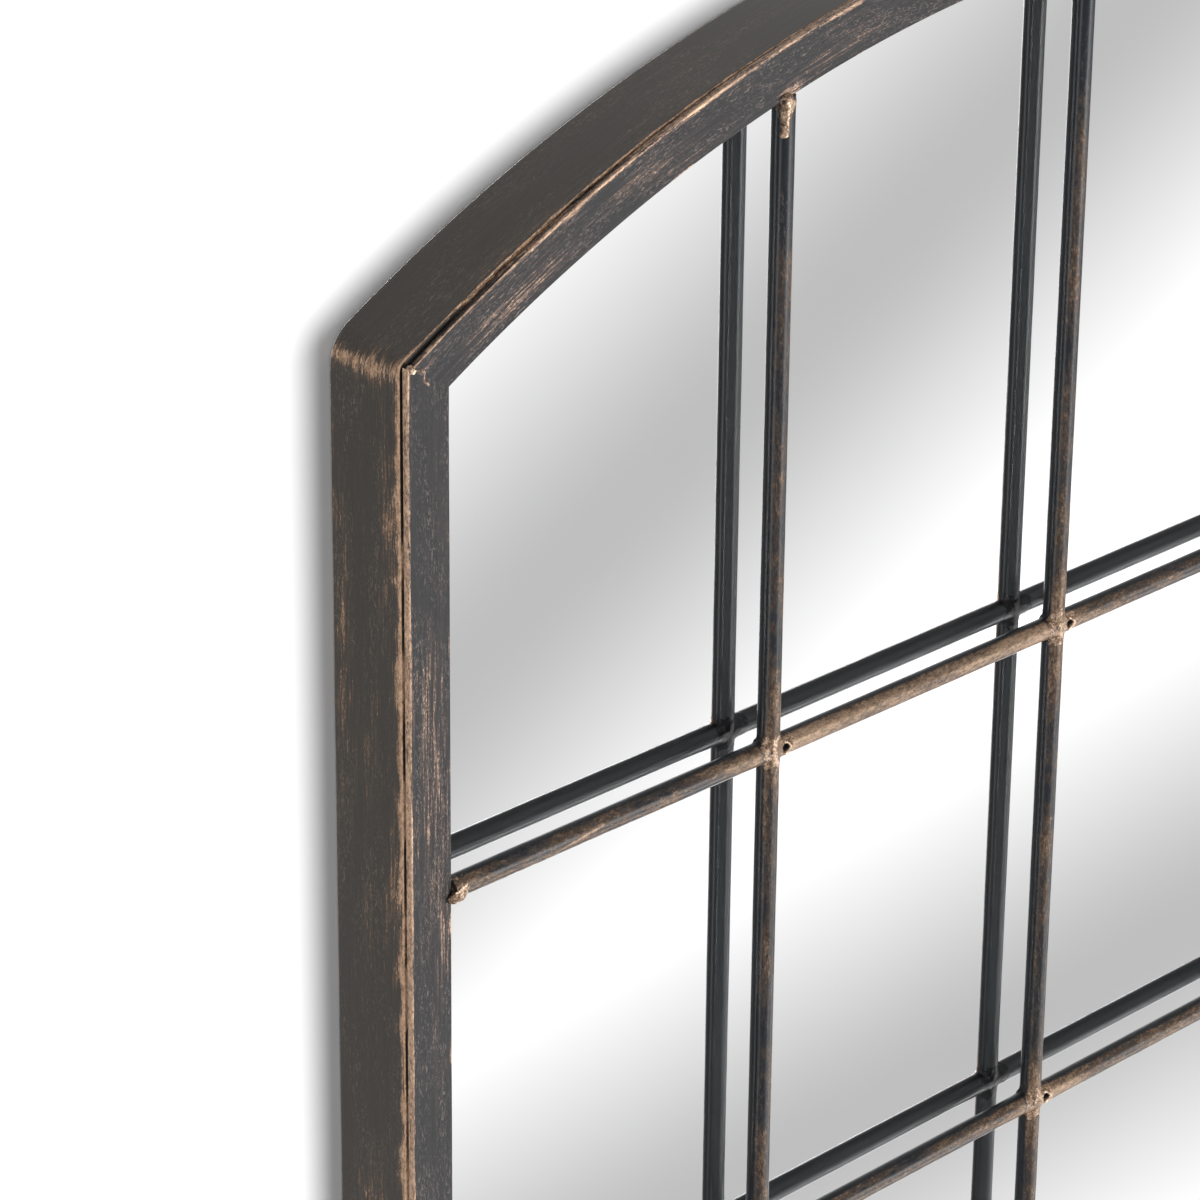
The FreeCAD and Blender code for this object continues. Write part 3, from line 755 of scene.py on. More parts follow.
def flat_wear_and_painted_highlight(across, depth, along, seed, rubs, edge):
    """Bare along the outer arris, paler there in places as a painted highlight, in patches along the inner
    one and in strokes on the face.

    edge(along) gives the outer edge's wear and its arris's reach."""
    on_edge, reach = edge(along)
    reach *= lerp(*ARRIS_UNEVEN, wave(along / ARRIS_UNEVEN_LENGTH, seed))
    arris = lerp(*ARRIS_RUB_AND_HIGHLIGHT, smooth_step(*ARRIS_LEVEL, wave(along / ARRIS_LENGTH, seed + 3.0)))
    arris *= hump(depth, *ARRIS_DEPTH) * hump(max(across - OUTER_LIMIT, 0.0), 0.0, reach)
    outer = 0.0
    if across < OUTER_LIMIT:
        outer = on_edge * lerp(*OUTER_UNEVEN, wave(along / OUTER_LENGTH, depth / OUTER_DEPTH, seed))
    inner = lerp(*INNER_RUB, smooth_step(*INNER_LEVEL, wave(along / INNER_LENGTH, seed + 4.0)))
    inner *= math.exp(-(FLAT_WIDTH - across) / INNER_REACH)
    strokes = wave(along / FACE_LENGTH, across / FACE_WIDTH, seed + 9.0)
    face = lerp(*FACE_RUB, smooth_step(*FACE_LEVEL, strokes))
    for place, length, line, width, strength in rubs:
        face = max(face, strength * hump(along, place, length) * hump(across, line, width))
    return clamp(max(arris, outer, inner, face if depth < FLAT_THICK / 2 else 0.0), 0.0, MOST_WEAR_AND_HIGHLIGHT)


def flat_piece(name, node, place, length, ends, inset_at, end_inset, seed, rubs, edge):
    """place(along, across) gives (x, z), ends(across) the mitres, inset_at(along) the set-in."""
    near, next_to = FLAT_ENDS
    shares = [0.0, near] + steps(next_to, 1 - next_to, int(length / FLAT_STEP)) + [1 - near, 1.0]
    rings = []
    for share in shares:
        ring = []
        for across, depth in flat_section():
            outside = 1 - across / FLAT_WIDTH
            first, last = ends(across + end_inset * outside)
            along = lerp(first, last, share)
            x, z = place(along, across + inset_at(along) * outside)
            from_end = length * min(share, 1 - share)
            dip = FLAT_WAVE * wave(along / FLAT_WAVE_ALONG, across / FLAT_WAVE_ACROSS, seed)
            dip *= smooth_step(0.0, MITRE_RUN, from_end)
            y = min(FRONT_Y + depth + dip, FLAT_BACK_Y)
            worn = flat_wear_and_painted_highlight(across, depth, along, seed, rubs, edge)
            ring.append(((x, y, z), (along, across, depth), worn))
        rings.append(ring)
    piece = swept_piece(name, rings)
    hand_over(piece, "bronzed_frame", FLAT_PAINT, node)


def front_flats():
    def steady_inset(along):
        return FLAT_INSET

    def steady_edge(along):
        return STEADY_EDGE

    for side, name in ((-1, "left"), (1, "right")):
        flat_piece(
            f"face_stile_{name}", f"front_stile_{name}",
            lambda along, across: (side * (HALF - across), along), SPRING_Z - BOTTOM_Z,
            lambda across: (BOTTOM_Z + across, lerp(SPRING_Z, corner_z(FLAT_WIDTH), across / FLAT_WIDTH)),
            steady_inset, FLAT_INSET, 2.0 + side, STILE_RUBS, steady_edge)
    flat_piece(
        "face_rail_bottom", "front_bottom_rail",
        lambda along, across: (along, BOTTOM_Z + across), WIDTH,
        lambda across: (-HALF + across, HALF - across),
        steady_inset, FLAT_INSET, 7.0, RAIL_RUBS, steady_edge)

    def arch_ends(across):
        x = HALF - across
        z = lerp(SPRING_Z, corner_z(FLAT_WIDTH), across / FLAT_WIDTH)
        reach = ARCH_RADIUS * math.atan2(x, z - ARCH_Z)
        return -reach, reach

    half_arch = arch_ends(0.0)[1]

    def arch_place(along, across):
        angle = along / ARCH_RADIUS
        radius = ARCH_RADIUS - across
        return radius * math.sin(angle), ARCH_Z + radius * math.cos(angle)

    def arch_inset(along):
        from_corner = half_arch - abs(along)
        return max(ARCH_INSET, CORNER_INSET * (1 - from_corner / INSET_CLOSES))

    def arch_edge(along):
        beyond = smooth_step(*BEYOND_RUN, half_arch - abs(along))
        return [lerp(near, far, beyond) for near, far in zip(CORNER_EDGE, BEYOND_EDGE)]

    flat_piece(
        "face_arch", "front_arch", arch_place, 2 * half_arch, arch_ends,
        arch_inset, CORNER_INSET, 12.0, ARCH_RUBS, arch_edge)


# Glazing bars

BAR_SIDES = 40
BAR_STEP = 3.0
BAR_LEAST_STEPS = 8
BAR_WAVE_ALONG = 14.0
SEED_SHIFT = 100.0

# Wear: most on the front and beside the joints, little at an upright's head, with one scuff on the outer bars
BAR_FACING = (-0.05, 0.55)
UPRIGHT_RUB = 0.63
CROSS_RUB = [0.73, 0.98, 0.70, 0.80]
RUB_UNEVEN = 0.5
RUB_LENGTH = 20.0
JOINT_RUB = 20.0
JOINT_EXTRA = 0.28
UPRIGHT_BARE = 52.0
CROSS_BARE = 0.5
BARE_SHARE = 0.12
SCUFF_RUB = 1.5
SCUFF_START = (0.25, -0.6)
SCUFF_END = (0.50, 0.5)
SCUFF_WIDTH = 0.17
SCUFF_FADE = (0.5, 0.55)


def bar_scuff(share, angle):
    """One pale scuff that winds round a bar. Its ends are (share of the length, angle up from the front)."""
    part = (share - SCUFF_START[0]) / (SCUFF_END[0] - SCUFF_START[0])
    line = lerp(SCUFF_START[1], SCUFF_END[1], part)
    return SCUFF_RUB * hump(angle, line, SCUFF_WIDTH) * hump(part, *SCUFF_FADE)


def bar_piece(name, node, start, end, seed, bare_end, rub, joints, scuffed):
    """Round bar between two points, hardly out of true, worn where it faces the viewer."""
    start, end = Vector(start), Vector(end)
    along = (end - start).normalized()
    side = along.cross(INTO_WALL)
    length = (end - start).length
    rings = []
    for s in steps(0.0, length, max(BAR_LEAST_STEPS, int(length / BAR_STEP))):
        near_joint = max(hump(s, joint, JOINT_RUB) for joint in joints)
        shown = lerp(BARE_SHARE, 1.0, smooth_step(bare_end / 2, bare_end, length - s))
        ring = []
        for k in range(BAR_SIDES):
            angle = 2 * math.pi * k / BAR_SIDES
            sine, cosine = math.sin(angle), math.cos(angle)
            outward = side * sine - INTO_WALL * cosine
            dent = BAR_WAVE * wave(s / BAR_WAVE_ALONG, sine, cosine + seed)
            local = outward * (BAR_RADIUS - dent)
            uneven = RUB_UNEVEN * (wave(s / RUB_LENGTH, seed + 2.0, sine) - 0.5)
            wear = smooth_step(*BAR_FACING, -outward.y) * (rub + JOINT_EXTRA * near_joint + uneven)
            if scuffed:
                wear = max(wear, bar_scuff(s / length, math.atan2(sine, cosine)))
            point = start + along * s + local
            lay = (s + SEED_SHIFT * seed, local.dot(side), local.y)
            ring.append((tuple(point), lay, wear * shown))
        rings.append(ring)
    piece = swept_piece(name, rings)
    hand_over(piece, "glazing_bars", BAR_PAINT, node)


def glazing_bars():
    for number, (name, x) in enumerate(zip(UPRIGHT_NAMES, UPRIGHTS)):
        node = f"vertical_bar_{name}"
        low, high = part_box(node)
        foot, head = low[2] / MM, high[2] / MM
        joints = [z - foot for z in ROW_Z]
        bar_piece(f"upright_{name}", node, (x, BAR_Y, foot), (x, BAR_Y, head), 1.0 + number,
                  UPRIGHT_BARE, UPRIGHT_RUB, joints, False)
    for row, z in enumerate(ROW_Z):
        for column in range(COLUMNS):
            node = f"cross_bar_row{row + 1}_col{column + 1}"
            low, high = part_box(node)
            seed = 5.0 + row * COLUMNS + column
            set_back = CROSS_END_GAP if column else STILE_END_GAP
            left, right = (low[0] / MM + set_back, BAR_Y, z), (high[0] / MM, BAR_Y, z)
            rub = CROSS_RUB[(row + column) % len(CROSS_RUB)]
            joints = [0.0, right[0] - left[0]] if column else [right[0] - left[0]]
            bar_piece(f"crosspiece_{row + 1}_{column + 1}", node, left, right, seed, CROSS_BARE, rub, joints,
                      column == 0)


# Welds

WELD_VOXEL = 0.36
THREAD_VOXEL = 0.16
BOX_CLEAR = 0.05
BALL_DETAIL = 3
ROD_SIDES = 28
SKIN_SMOOTH = 0.5
SKIN_PASSES = 5
ROUGH_SHARE = 0.9
ROUGH_LENGTH = 1.6

# Wear by how far a face turns to the front, in front of the bar's axis and behind it
FRONT_RUB = (0.0, 0.6)
ROUND_RUB = (-0.6, 0.1)
BEAD_RUB = 0.78
BEAD_FRONT = (0.5, -1.5)
BEAD_BEHIND = (-1.0, 0.5)
BEHIND_DARK = 0.6
# Ridges are worn past 1, which takes a bead to its palest gold: bare metal and a painted highlight
RIDGE_RUB_AND_HIGHLIGHT = 1.35
RIDGE_FACING = (-0.2, 0.3)
RIDGE_FADE = (0.0, 0.7)
PIT_DIP = (0.0, 0.8)
PIT_DARK = (0.05, 0.5)

# Lumps round a bar's end
COLLAR_TURN = 0.25
COLLAR_SIZES = (0.8, 1.15)
COLLAR_BASE = 0.75
COLLAR_SUNK = 0.9
COLLAR_LIFT = 0.2
COLLAR_ALONG = (0.2, 1.3)
COLLAR_FLAT = 0.85
LUMP_SIZES = (0.85, 1.15)

# A row of lumps is (places it runs through, lumps in each run, size of a lump, wobble).
# A pit is (place, radius, depth). Places are (along the bar, y, across it) from the joint's centre.
CROSSING_LEFT = (7, 1.25, 0.3)
CROSSING_RIGHT = (6, 1.1, 0.25)
CROSSING_RIGHT_TAPER = 0.05
CROSSING_RIDGE = (((-4.0, -1.6, -2.3), (-1.6, -3.4, 1.7)), 6, (1.0, 0.9, 1.0), 0.2)
CROSSING_RIM = (((4.4, -3.4, 2.2), (6.6, -3.9, 0.4), (4.6, -3.4, -2.0)), 5, (0.55, 0.5, 0.55), 0.1)
CROSSING_NUB = ((-3.1, 2.2, 2.6), (1.3, 1.2, 1.5))
CROSSING_PITS = [((4.5, -3.6, 0.2), 1.9, 2.4), ((-2.6, -3.9, 0.6), 0.55, 0.4)]
CROSSING_RIDGE_REACH = 1.6
CROSSING_RIM_REACH = 1.0

END_FLARE = 0.1
STILE_ROD_START = 0.3
STILE_LUMPS = [((2.4, -2.9, -1.2), (2.9, 1.7, 2.3)), ((0.3, -2.8, -1.8), (1.9, 1.4, 1.8)),
               ((-1.0, -2.4, -2.2), (1.1, 0.8, 1.5)), ((4.8, -3.0, 0.2), (1.7, 1.3, 1.6)),
               ((1.2, -2.3, -3.2), (1.8, 1.2, 1.2))]
STILE_WOBBLE = 0.25
STILE_RIM = (((0.2, -3.9, 0.1), (4.6, -3.9, 1.6)), 6, (0.6, 0.5, 0.45), 0.12)
STILE_PITS = [((0.7, -2.9, 2.2), 2.3, 1.6), ((-0.3, -3.9, -2.2), 0.55, 0.6)]
STILE_RIM_REACH = 0.8

UPRIGHT_ROD_START = 0.5
UPRIGHT_COLLAR = (7, 1.1, 0.2)
TONGUE_ROOT = (((0.2, -2.3, -1.2), (4.5, -2.4, -1.6)), 4, (2.5, 1.7, 1.7), 0.2)
TONGUE_TIP = (((4.5, -2.4, -1.6), (10.5, -2.3, -1.9)), 6, (1.7, 1.6, 1.6), 0.2)
TONGUE_CREST = (((0.2, -3.6, -1.8), (10.6, -3.2, -2.6)), 10, (0.4, 0.4, 0.5), 0.7)
UPRIGHT_PITS = [((0.3, -2.8, -3.0), 1.1, 1.0), ((4.6, -4.0, -1.0), 0.7, 0.5)]
CREST_REACH = 1.1

# Corner beads, as (inward, y, along the stile) from the corner. The thread's steps are (inward, along)
CORNER_DOTS = [((2.2, 0.9, 1.2), (1.5, 1.3, 1.6)), ((3.1, 0.5, 2.0), (1.0, 0.7, 0.9))]
DOT_REACH = 1.8
THREAD_START = (3.4, 0.24, 1.4)
CORNER_THREAD = [(2.6, 0.6), (1.4, 1.0), (-0.5, 2.6), (1.1, 0.7), (0.7, 0.9)]
THREAD_LUMPS = 6
THREAD_SIZE = (0.46, 0.46, 0.46)
THREAD_WOBBLE = 0.08
THREAD_REACH = 0.55


def fused_skin(blobs, rods, voxel):
    """One skin over many overlapping balls and tapered rods, smoothed so that it fillets between them."""
    bm = bmesh.new()
    for place, size in blobs:
        matrix = Matrix.Translation(place) @ Matrix.Diagonal((*size, 1.0))
        bmesh.ops.create_icosphere(bm, subdivisions=BALL_DETAIL, radius=1.0, matrix=matrix)
    for start, end, thick, thin in rods:
        turn = (end - start).to_track_quat("Z", "Y").to_matrix().to_4x4()
        matrix = Matrix.Translation((start + end) / 2) @ turn
        bmesh.ops.create_cone(bm, cap_ends=True, segments=ROD_SIDES, radius1=thick, radius2=thin,
                              depth=(end - start).length, matrix=matrix)
    rough = bpy.data.meshes.new("rough")
    bm.to_mesh(rough)
    bm.free()
    holder = bpy.data.objects.new("holder", rough)
    bpy.context.scene.collection.objects.link(holder)
    skin = holder.modifiers.new("skin", "REMESH")
    skin.mode = "VOXEL"
    skin.voxel_size = voxel
    soft = holder.modifiers.new("soft", "SMOOTH")
    soft.factor = SKIN_SMOOTH
    soft.iterations = SKIN_PASSES
    graph = bpy.context.evaluated_depsgraph_get()
    mesh = bpy.data.meshes.new_from_object(holder.evaluated_get(graph))
    bpy.data.objects.remove(holder)
    bpy.data.meshes.remove(rough)
    points = [v.co.copy() for v in mesh.vertices]
    normals = [v.normal.copy() for v in mesh.vertices]
    faces = [tuple(p.vertices) for p in mesh.polygons]
    bpy.data.meshes.remove(mesh)
    return points, normals, faces


def collar(rng, centre, along, count, lump, front_share):
    """Lumps of weld round a bar's end, heavier to the front."""
    side = along.cross(INTO_WALL)
    blobs = []
    for k in range(count):
        angle = 2 * math.pi * (k + rng.uniform(-COLLAR_TURN, COLLAR_TURN)) / count
        outward = side * math.sin(angle) - INTO_WALL * math.cos(angle)
        forward = 0.5 + 0.5 * math.cos(angle)
        size = lump * (COLLAR_BASE + front_share * forward) * rng.uniform(*COLLAR_SIZES)
        out = BAR_RADIUS - COLLAR_SUNK - COLLAR_LIFT * forward
        place = centre + outward * out + along * rng.uniform(*COLLAR_ALONG)
        blobs.append((place, (size, size * COLLAR_FLAT, size)))
    return blobs


def jitter(rng, wobble):
    return Vector([rng.uniform(-wobble, wobble) for _ in range(3)])


def chain(rng, places, count, size, wobble):
    """Lumps of one size in uneven rows from place to place."""
    blobs = []
    for start, end in zip(places, places[1:]):
        for k in range(count):
            shift = jitter(rng, wobble)
            scale = rng.uniform(*LUMP_SIZES)
            blobs.append((start.lerp(end, k / (count - 1)) + shift, tuple(c * scale for c in size)))
    return blobs


def spot(centre, along, across, place):
    """A place given as (along, y, across), from a joint's centre."""
    return centre + along * place[0] + INTO_WALL * place[1] + across * place[2]


def row_of_lumps(rng, axes, row):
    places, count, size, wobble = row
    return chain(rng, [spot(*axes, place) for place in places], count, size, wobble)


def set_pits(axes, pits):
    return [(spot(*axes, place), radius, depth) for place, radius, depth in pits]


def ridges_on(blobs, reach):
    return [(place, reach) for place, _ in blobs]


def bead_wear_and_painted_highlight(p, n, facing, ridges, dents):
    """Rubbed on the front, pale on the ridges, partly as a painted highlight, and black in the pits."""
    behind = p.y - BAR_Y
    rub = BEAD_RUB * smooth_step(*facing, -n.y) * smooth_step(*BEAD_FRONT, behind)
    rub -= BEHIND_DARK * smooth_step(*BEAD_BEHIND, behind)
    shown = smooth_step(*RIDGE_FACING, -n.y)
    for ridge, radius in ridges:
        rub = max(rub, RIDGE_RUB_AND_HIGHLIGHT * shown * smooth_step(*RIDGE_FADE, 1 - (p - ridge).length / radius))
    for near, _ in dents:
        rub *= 1 - smooth_step(*PIT_DARK, near)
    return rub


def weld_piece(name, joints, voxel, *nodes):
    """All the beads of one kind as one piece. A joint is (blobs, rods, pits, ridges, facing where rubbed)."""
    points, faces, lay, wear = [], [], [], []
    inside = [(low / MM + BOX_CLEAR, high / MM - BOX_CLEAR) for low, high in zip(cad_low, cad_high)]
    for blobs, rods, pits, ridges, facing in joints:
        skin, normals, skin_faces = fused_skin(blobs, rods, voxel)
        first = len(points)
        for p, n in zip(skin, normals):
            lift = wave(p.x / ROUGH_LENGTH, p.y / ROUGH_LENGTH, p.z / ROUGH_LENGTH) - 0.5
            q = p + n * (ROUGH_SHARE * voxel * lift)
            dents = [(clamp(1 - (p - pit).length / radius), depth) for pit, radius, depth in pits]
            for near, depth in dents:
                q -= n * (depth * smooth_step(*PIT_DIP, near))
            points.append([clamp(c, *limits) for c, limits in zip(q, inside)])
            lay.append(tuple(p))
            wear.append(bead_wear_and_painted_highlight(p, n, facing, ridges, dents))
        faces += [tuple(first + i for i in face) for face in skin_faces]
    piece = mesh_piece(name, points, faces, lay, wear)
    hand_over(piece, "weld_beads", WELD_METAL, *nodes)


def crossing_joint(rng, centre):
    flared, thin = BAR_RADIUS + WELD_FLARE, BAR_RADIUS - WELD_TAPER
    axes = centre, RIGHT, UP
    rods = [(centre, centre + arm * WELD_REACH, flared, thin) for arm in (-RIGHT, UP, -UP)]
    rods.append((centre, centre + RIGHT * WELD_REACH, flared, BAR_RADIUS - CROSSING_RIGHT_TAPER))
    blobs = collar(rng, centre - RIGHT * BAR_RADIUS, -RIGHT, *CROSSING_LEFT)
    blobs += collar(rng, centre + RIGHT * BAR_RADIUS, RIGHT, *CROSSING_RIGHT)
    ridge = row_of_lumps(rng, axes, CROSSING_RIDGE)
    rim = row_of_lumps(rng, axes, CROSSING_RIM)
    nub = (spot(*axes, CROSSING_NUB[0]), CROSSING_NUB[1])
    ridges = ridges_on(ridge, CROSSING_RIDGE_REACH) + ridges_on(rim, CROSSING_RIM_REACH)
    return blobs + ridge + rim + [nub], rods, set_pits(axes, CROSSING_PITS), ridges, FRONT_RUB


def end_rod(centre, along, start):
    thick, thin = BAR_RADIUS + END_FLARE, BAR_RADIUS - WELD_TAPER
    return centre + along * start, centre + along * WELD_REACH, thick, thin


def stile_joint(rng, centre, inward):
    axes = centre, inward, UP
    blobs = [(spot(*axes, place) + jitter(rng, STILE_WOBBLE), size) for place, size in STILE_LUMPS]
    rim = row_of_lumps(rng, axes, STILE_RIM)
    rods = [end_rod(centre, inward, STILE_ROD_START)]
    return blobs + rim, rods, set_pits(axes, STILE_PITS), ridges_on(rim, STILE_RIM_REACH), ROUND_RUB


def upright_joint(rng, centre, along):
    axes = centre, along, RIGHT
    blobs = collar(rng, centre, along, *UPRIGHT_COLLAR)
    blobs += row_of_lumps(rng, axes, TONGUE_ROOT) + row_of_lumps(rng, axes, TONGUE_TIP)
    crest = row_of_lumps(rng, axes, TONGUE_CREST)
    rods = [end_rod(centre, along, UPRIGHT_ROD_START)]
    return blobs + crest, rods, set_pits(axes, UPRIGHT_PITS), ridges_on(crest, CREST_REACH), ROUND_RUB


def welds():
    rng = random.Random(20)
    crossings = [crossing_joint(rng, Vector((x, BAR_Y, z))) for x in UPRIGHTS for z in ROW_Z]
    weld_piece("beads_at_crossings", crossings, WELD_VOXEL, "crossing_welds")
    stiles = []
    for side in (-1, 1):
        stiles += [stile_joint(rng, Vector((side * INNER, BAR_Y, z)), RIGHT * -side) for z in ROW_Z]
    weld_piece("beads_at_stiles", stiles, WELD_VOXEL, "stile_end_welds")
    heads = [upright_joint(rng, Vector((x, BAR_Y, arch_height(x, FLAT_WIDTH))), -UP) for x in UPRIGHTS]
    weld_piece("beads_at_arch", heads, WELD_VOXEL, "arch_end_welds")
    feet = [upright_joint(rng, Vector((x, BAR_Y, BOTTOM_Z + FLAT_WIDTH)), UP) for x in UPRIGHTS]
    weld_piece("beads_at_bottom", feet, WELD_VOXEL, "bottom_end_welds")


def corner_beads():
    """A ground-off dot at each outer corner and a thread of weld that wanders in from it over the mitre, both
    pale on top partly as a painted highlight.
    """
    rng = random.Random(7)
    joints = []
    for side in (-1, 1):
        for z, rise in ((SPRING_Z, -1), (BOTTOM_Z, 1)):
            axes = Vector((side * HALF, FRONT_Y, z)), RIGHT * -side, UP * rise
            dots = [(spot(*axes, place), size) for place, size in CORNER_DOTS]
            places = [spot(*axes, THREAD_START)]
            for reach, drop in CORNER_THREAD:
                places.append(places[-1] + (axes[1] * reach + axes[2] * drop))
            thread = chain(rng, places, THREAD_LUMPS, THREAD_SIZE, THREAD_WOBBLE)
            ridges = ridges_on(dots, DOT_REACH) + ridges_on(thread, THREAD_REACH)
            joints.append((dots + thread, [], [], ridges, ROUND_RUB))
    weld_piece("beads_at_corners", joints, THREAD_VOXEL)


# Nodes shown as built

def ease_edges(node):
    """Breaks the sharp edges of a part that is shown as built."""
    node.modifiers.new("joined", "WELD").merge_threshold = HARDWARE_JOIN * MM
    ease = node.modifiers.new("eased", "BEVEL")
    ease.width = HARDWARE_EASE * MM
    ease.segments = 2
    ease.limit_method = "ANGLE"
    ease.angle_limit = math.radians(HARDWARE_EDGE)
    ease.use_clamp_overlap = True
    node.modifiers.new("even_normals", "WEIGHTED_NORMAL").keep_sharp = True


def finish_nodes():
    board = speckled("hardboard", dark=(0.075, 0.045, 0.026), light=(0.155, 0.098, 0.060),
                     scale=420, roughness=0.72, depth=0.15)
    foam = speckled("black_foam", dark=(0.008, 0.008, 0.009), light=(0.022, 0.022, 0.023),
                    scale=1500, roughness=0.85, depth=0.25)
    hardware = speckled("black_hardware", dark=(0.010, 0.010, 0.011), light=(0.026, 0.025, 0.025),
                        scale=700, roughness=0.42, depth=0.08)
    zinc = speckled("rivet_zinc", dark=(0.30, 0.30, 0.31), light=(0.46, 0.46, 0.47),
                    scale=900, roughness=0.38, depth=0.06, metallic=0.9)
    hidden_weld = speckled("painted_weld", dark=(0.012, 0.012, 0.012), light=(0.034, 0.031, 0.029),
                           scale=500, roughness=0.5, depth=0.4)
    finishes = {"mirror_plate": mirror_finish(), "backing_board": board, "button_rivets": zinc}
    for name in ("spacer_left", "spacer_right", "spacer_arch", "spacer_bottom"):
        finishes[name] = foam
    for name in ("band_seam_weld", "mitre_welds", "frame_tack_welds", "lug_welds", "hanger_welds"):
        finishes[name] = hidden_weld
    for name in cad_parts:
        if name.startswith(("turn_button", "button_lugs", "hanger_plate")):
            finishes[name] = hardware
    for name, finish in finishes.items():
        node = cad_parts[name]
        node.data.materials.clear()
        node.data.materials.append(finish)
        if finish in (hardware, zinc, board):
            ease_edges(node)


# Room

PAPER_GRAIN = (40, 40, 40)
PAPER_SHADE = 0.99
PAPER_ROUGHNESS = 0.9


def camera():
    data = bpy.data.cameras.new("camera")
    data.sensor_width = SENSOR
    data.lens = SENSOR * FOCAL_SHARE
    data.clip_start, data.clip_end = (reach * MM for reach in CLIP)
    heading, dip, roll = (math.radians(a) for a in (CAMERA_HEADING, CAMERA_DIP, CAMERA_ROLL))
    ahead = Vector((math.sin(heading) * math.cos(dip), math.cos(heading) * math.cos(dip), -math.sin(dip)))
    level = ahead.cross(UP).normalized()
    above = level.cross(ahead)
    right = level * math.cos(roll) + above * math.sin(roll)
    up = right.cross(ahead)
    seat = bpy.data.objects.new("camera", data)
    turn = Matrix((right, up, -ahead)).transposed().to_4x4()
    seat.matrix_world = Matrix.Translation(Vector(CAMERA_PLACE) * MM) @ turn
    bpy.context.scene.collection.objects.link(seat)
    bpy.context.scene.camera = seat
    return ahead, right, up


def white_paper():
    """Pale matt surface, seen only from its front."""
    f = Finish("white_paper")
    grain = f.noise(f.object_place(), PAPER_GRAIN, detail=2.0)
    shades = ([PAPER_ALBEDO * PAPER_SHADE] * 3, [PAPER_ALBEDO] * 3)
    f.set(Base_Color=f.ramp(grain, MID_NOISE, shades), Roughness=PAPER_ROUGHNESS)
    f.put(f.shader.inputs["Specular IOR Level"], 0.0)
    behind = f.add("ShaderNodeNewGeometry").outputs["Backfacing"]
    clear = f.add("ShaderNodeBsdfTransparent").outputs[0]
    choice = f.add("ShaderNodeMixShader", {0: behind, 1: f.shader.outputs[0], 2: clear}).outputs[0]
    f.put(f.tree.nodes["Material Output"].inputs["Surface"], choice)
    return f.material


def stage_sheet(name, corners, finish):
    mesh = bpy.data.meshes.new(name)
    mesh.from_pydata([[c * MM for c in corner] for corner in corners], [], [(0, 1, 2, 3)])
    mesh.materials.append(finish)
    sheet = bpy.data.objects.new(name, mesh)
    bpy.context.scene.collection.objects.link(sheet)
    sheet.visible_diffuse = False
    sheet.visible_glossy = False
    sheet.visible_transmission = False
    sheet.visible_shadow = False


def wall_and_floor():
    paper = white_paper()
    low, x, y = BOTTOM_Z - PAPER_CLEAR, FLOOR_HALF_WIDTH, FLOOR_HALF_DEPTH
    wall = [(-WALL_REACH, low), (WALL_REACH, low), (WALL_REACH, WALL_REACH), (-WALL_REACH, WALL_REACH)]
    stage_sheet("wall", [(across, PAPER_CLEAR, z) for across, z in wall], paper)
    stage_sheet("floor", [(-x, -y, low), (x, -y, low), (x, y, low), (-x, y, low)], paper)


def lamps():
    """Soft lamps turned to their aims: round where both sizes are the same, otherwise a strip."""
    for name, place, aim, size, power, mirrored in LAMPS:
        light = bpy.data.lights.new(name, "AREA")
        light.shape = "DISK" if size[0] == size[1] else "RECTANGLE"
        light.size, light.size_y = size
        light.energy = power
        lamp = bpy.data.objects.new(name, light)
        lamp.location = Vector(LIT_PLACE) + Vector(place)
        lamp.rotation_mode = "QUATERNION"
        lamp.rotation_quaternion = (Vector(aim) - Vector(place)).to_track_quat("-Z", "Y")
        lamp.visible_glossy = mirrored
        bpy.context.scene.collection.objects.link(lamp)


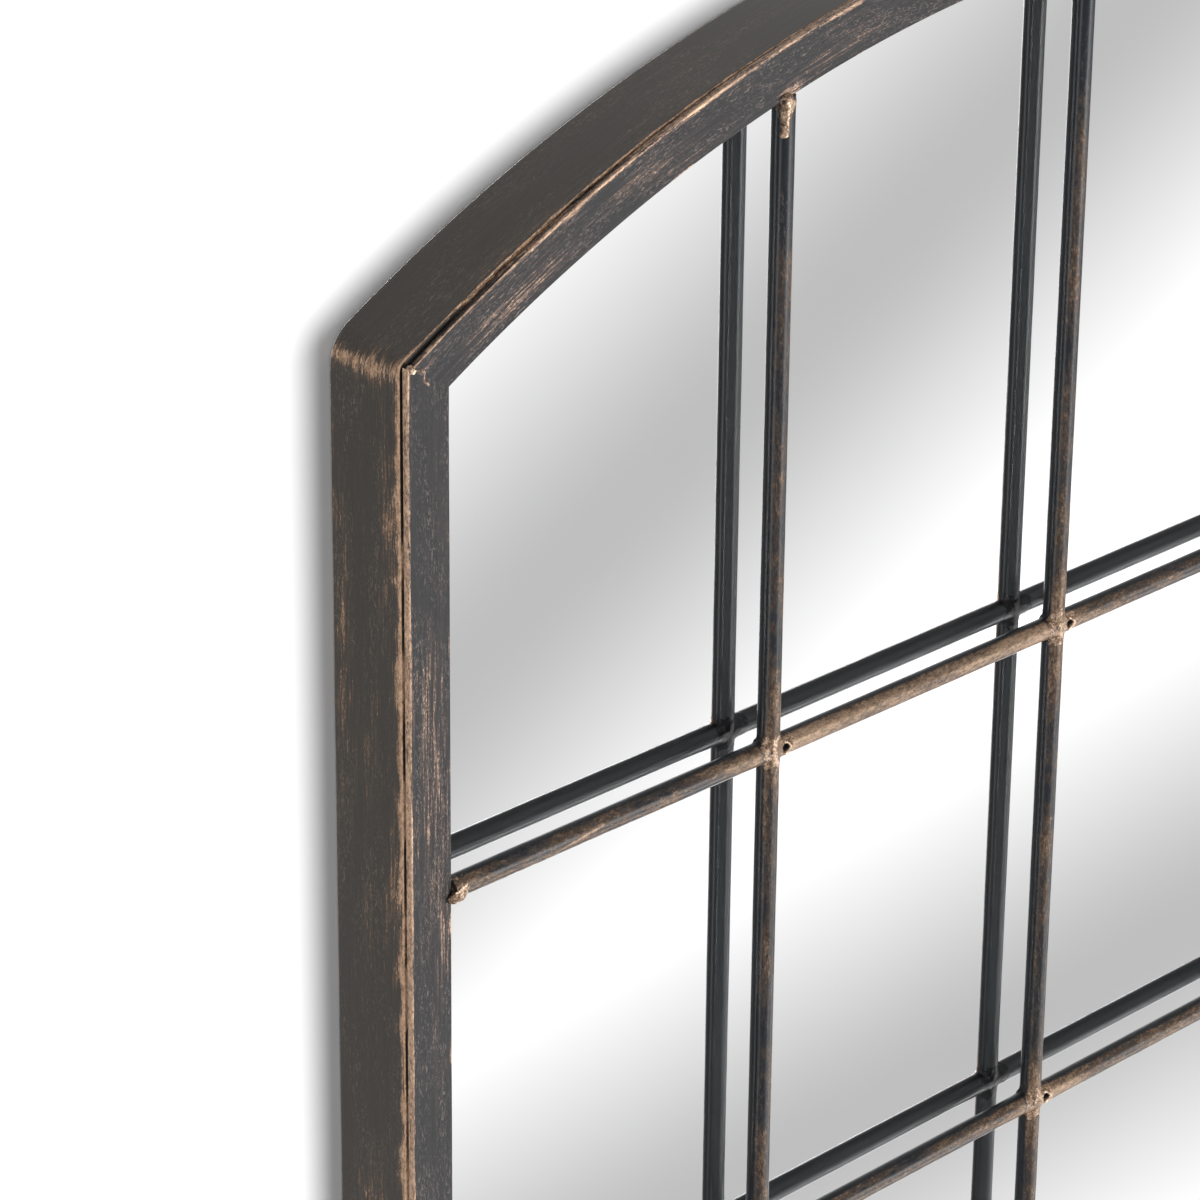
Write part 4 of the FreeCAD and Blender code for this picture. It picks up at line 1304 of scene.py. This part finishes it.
def studio(ahead, right, up):
    """Light from all round, with the graded bands that the mirror shows to the camera's place."""
    world = bpy.data.worlds.new("studio")
    bpy.context.scene.world = world
    world.use_nodes = True
    n = Nodes(world.node_tree)
    focal = 2 * PHOTO_HALF * FOCAL_SHARE
    toward, across, down = (Vector((v.x, -v.y, v.z)) for v in (ahead, right, -up))
    place = n.add("ShaderNodeTexCoord").outputs["Generated"]

    def dot(direction):
        inputs = {0: place, 1: direction}
        return n.add("ShaderNodeVectorMath", inputs, operation="DOT_PRODUCT").outputs["Value"]

    def blend(direction, edge, below, above):
        """One light below the edge in a direction, another above it."""
        inputs = {"Value": dot(direction), "From Min": edge[0], "From Max": edge[1]}
        part = n.add("ShaderNodeMapRange", inputs, interpolation_type="SMOOTHSTEP").outputs["Result"]
        return n.add("ShaderNodeMix", {"Factor": part, "A": below, "B": above}).outputs["Result"]

    levels = []
    for (x, y), fall, gain in LIGHT_BANDS:
        rate = (down + across * fall) * (focal * gain)
        line = toward + across * ((x - PHOTO_HALF) / focal) + down * ((y - PHOTO_HALF) / focal)
        climb = n.math("SUBTRACT", dot(rate), rate.dot(line.normalized()))
        levels.append(n.math("SMOOTH_MAX", climb, n.math("MULTIPLY", climb, -1.0), DARK_ROUND))
    grey = n.math("ADD", n.math("MINIMUM", *levels), DARKEST)
    bands = n.math("MULTIPLY", n.math("POWER", grey, GAMMA), 1 / SILVER)
    opposite = blend(UP, FRONT_RISE, ROOM_DARK, FRONT_LIGHT)
    around = blend(-INTO_WALL, FRONT_EDGE, ROOM_DARK, opposite)
    lit = blend(INTO_WALL, WALL_EDGE, blend(toward, ROOM_EDGE, around, bands), WALL_LIGHT)
    path = n.add("ShaderNodeLightPath").outputs
    seen = n.mix(path["Is Glossy Ray"], AMBIENT, lit)
    shown = n.mix(path["Is Camera Ray"], seen, BACKDROP)
    n.put(n.tree.nodes["Background"].inputs["Color"], shown)
    bpy.context.scene.view_settings.view_transform = "Standard"


side_band()
front_flats()
glazing_bars()
welds()
corner_beads()
finish_nodes()
wall_and_floor()
lamps()
studio(*camera())
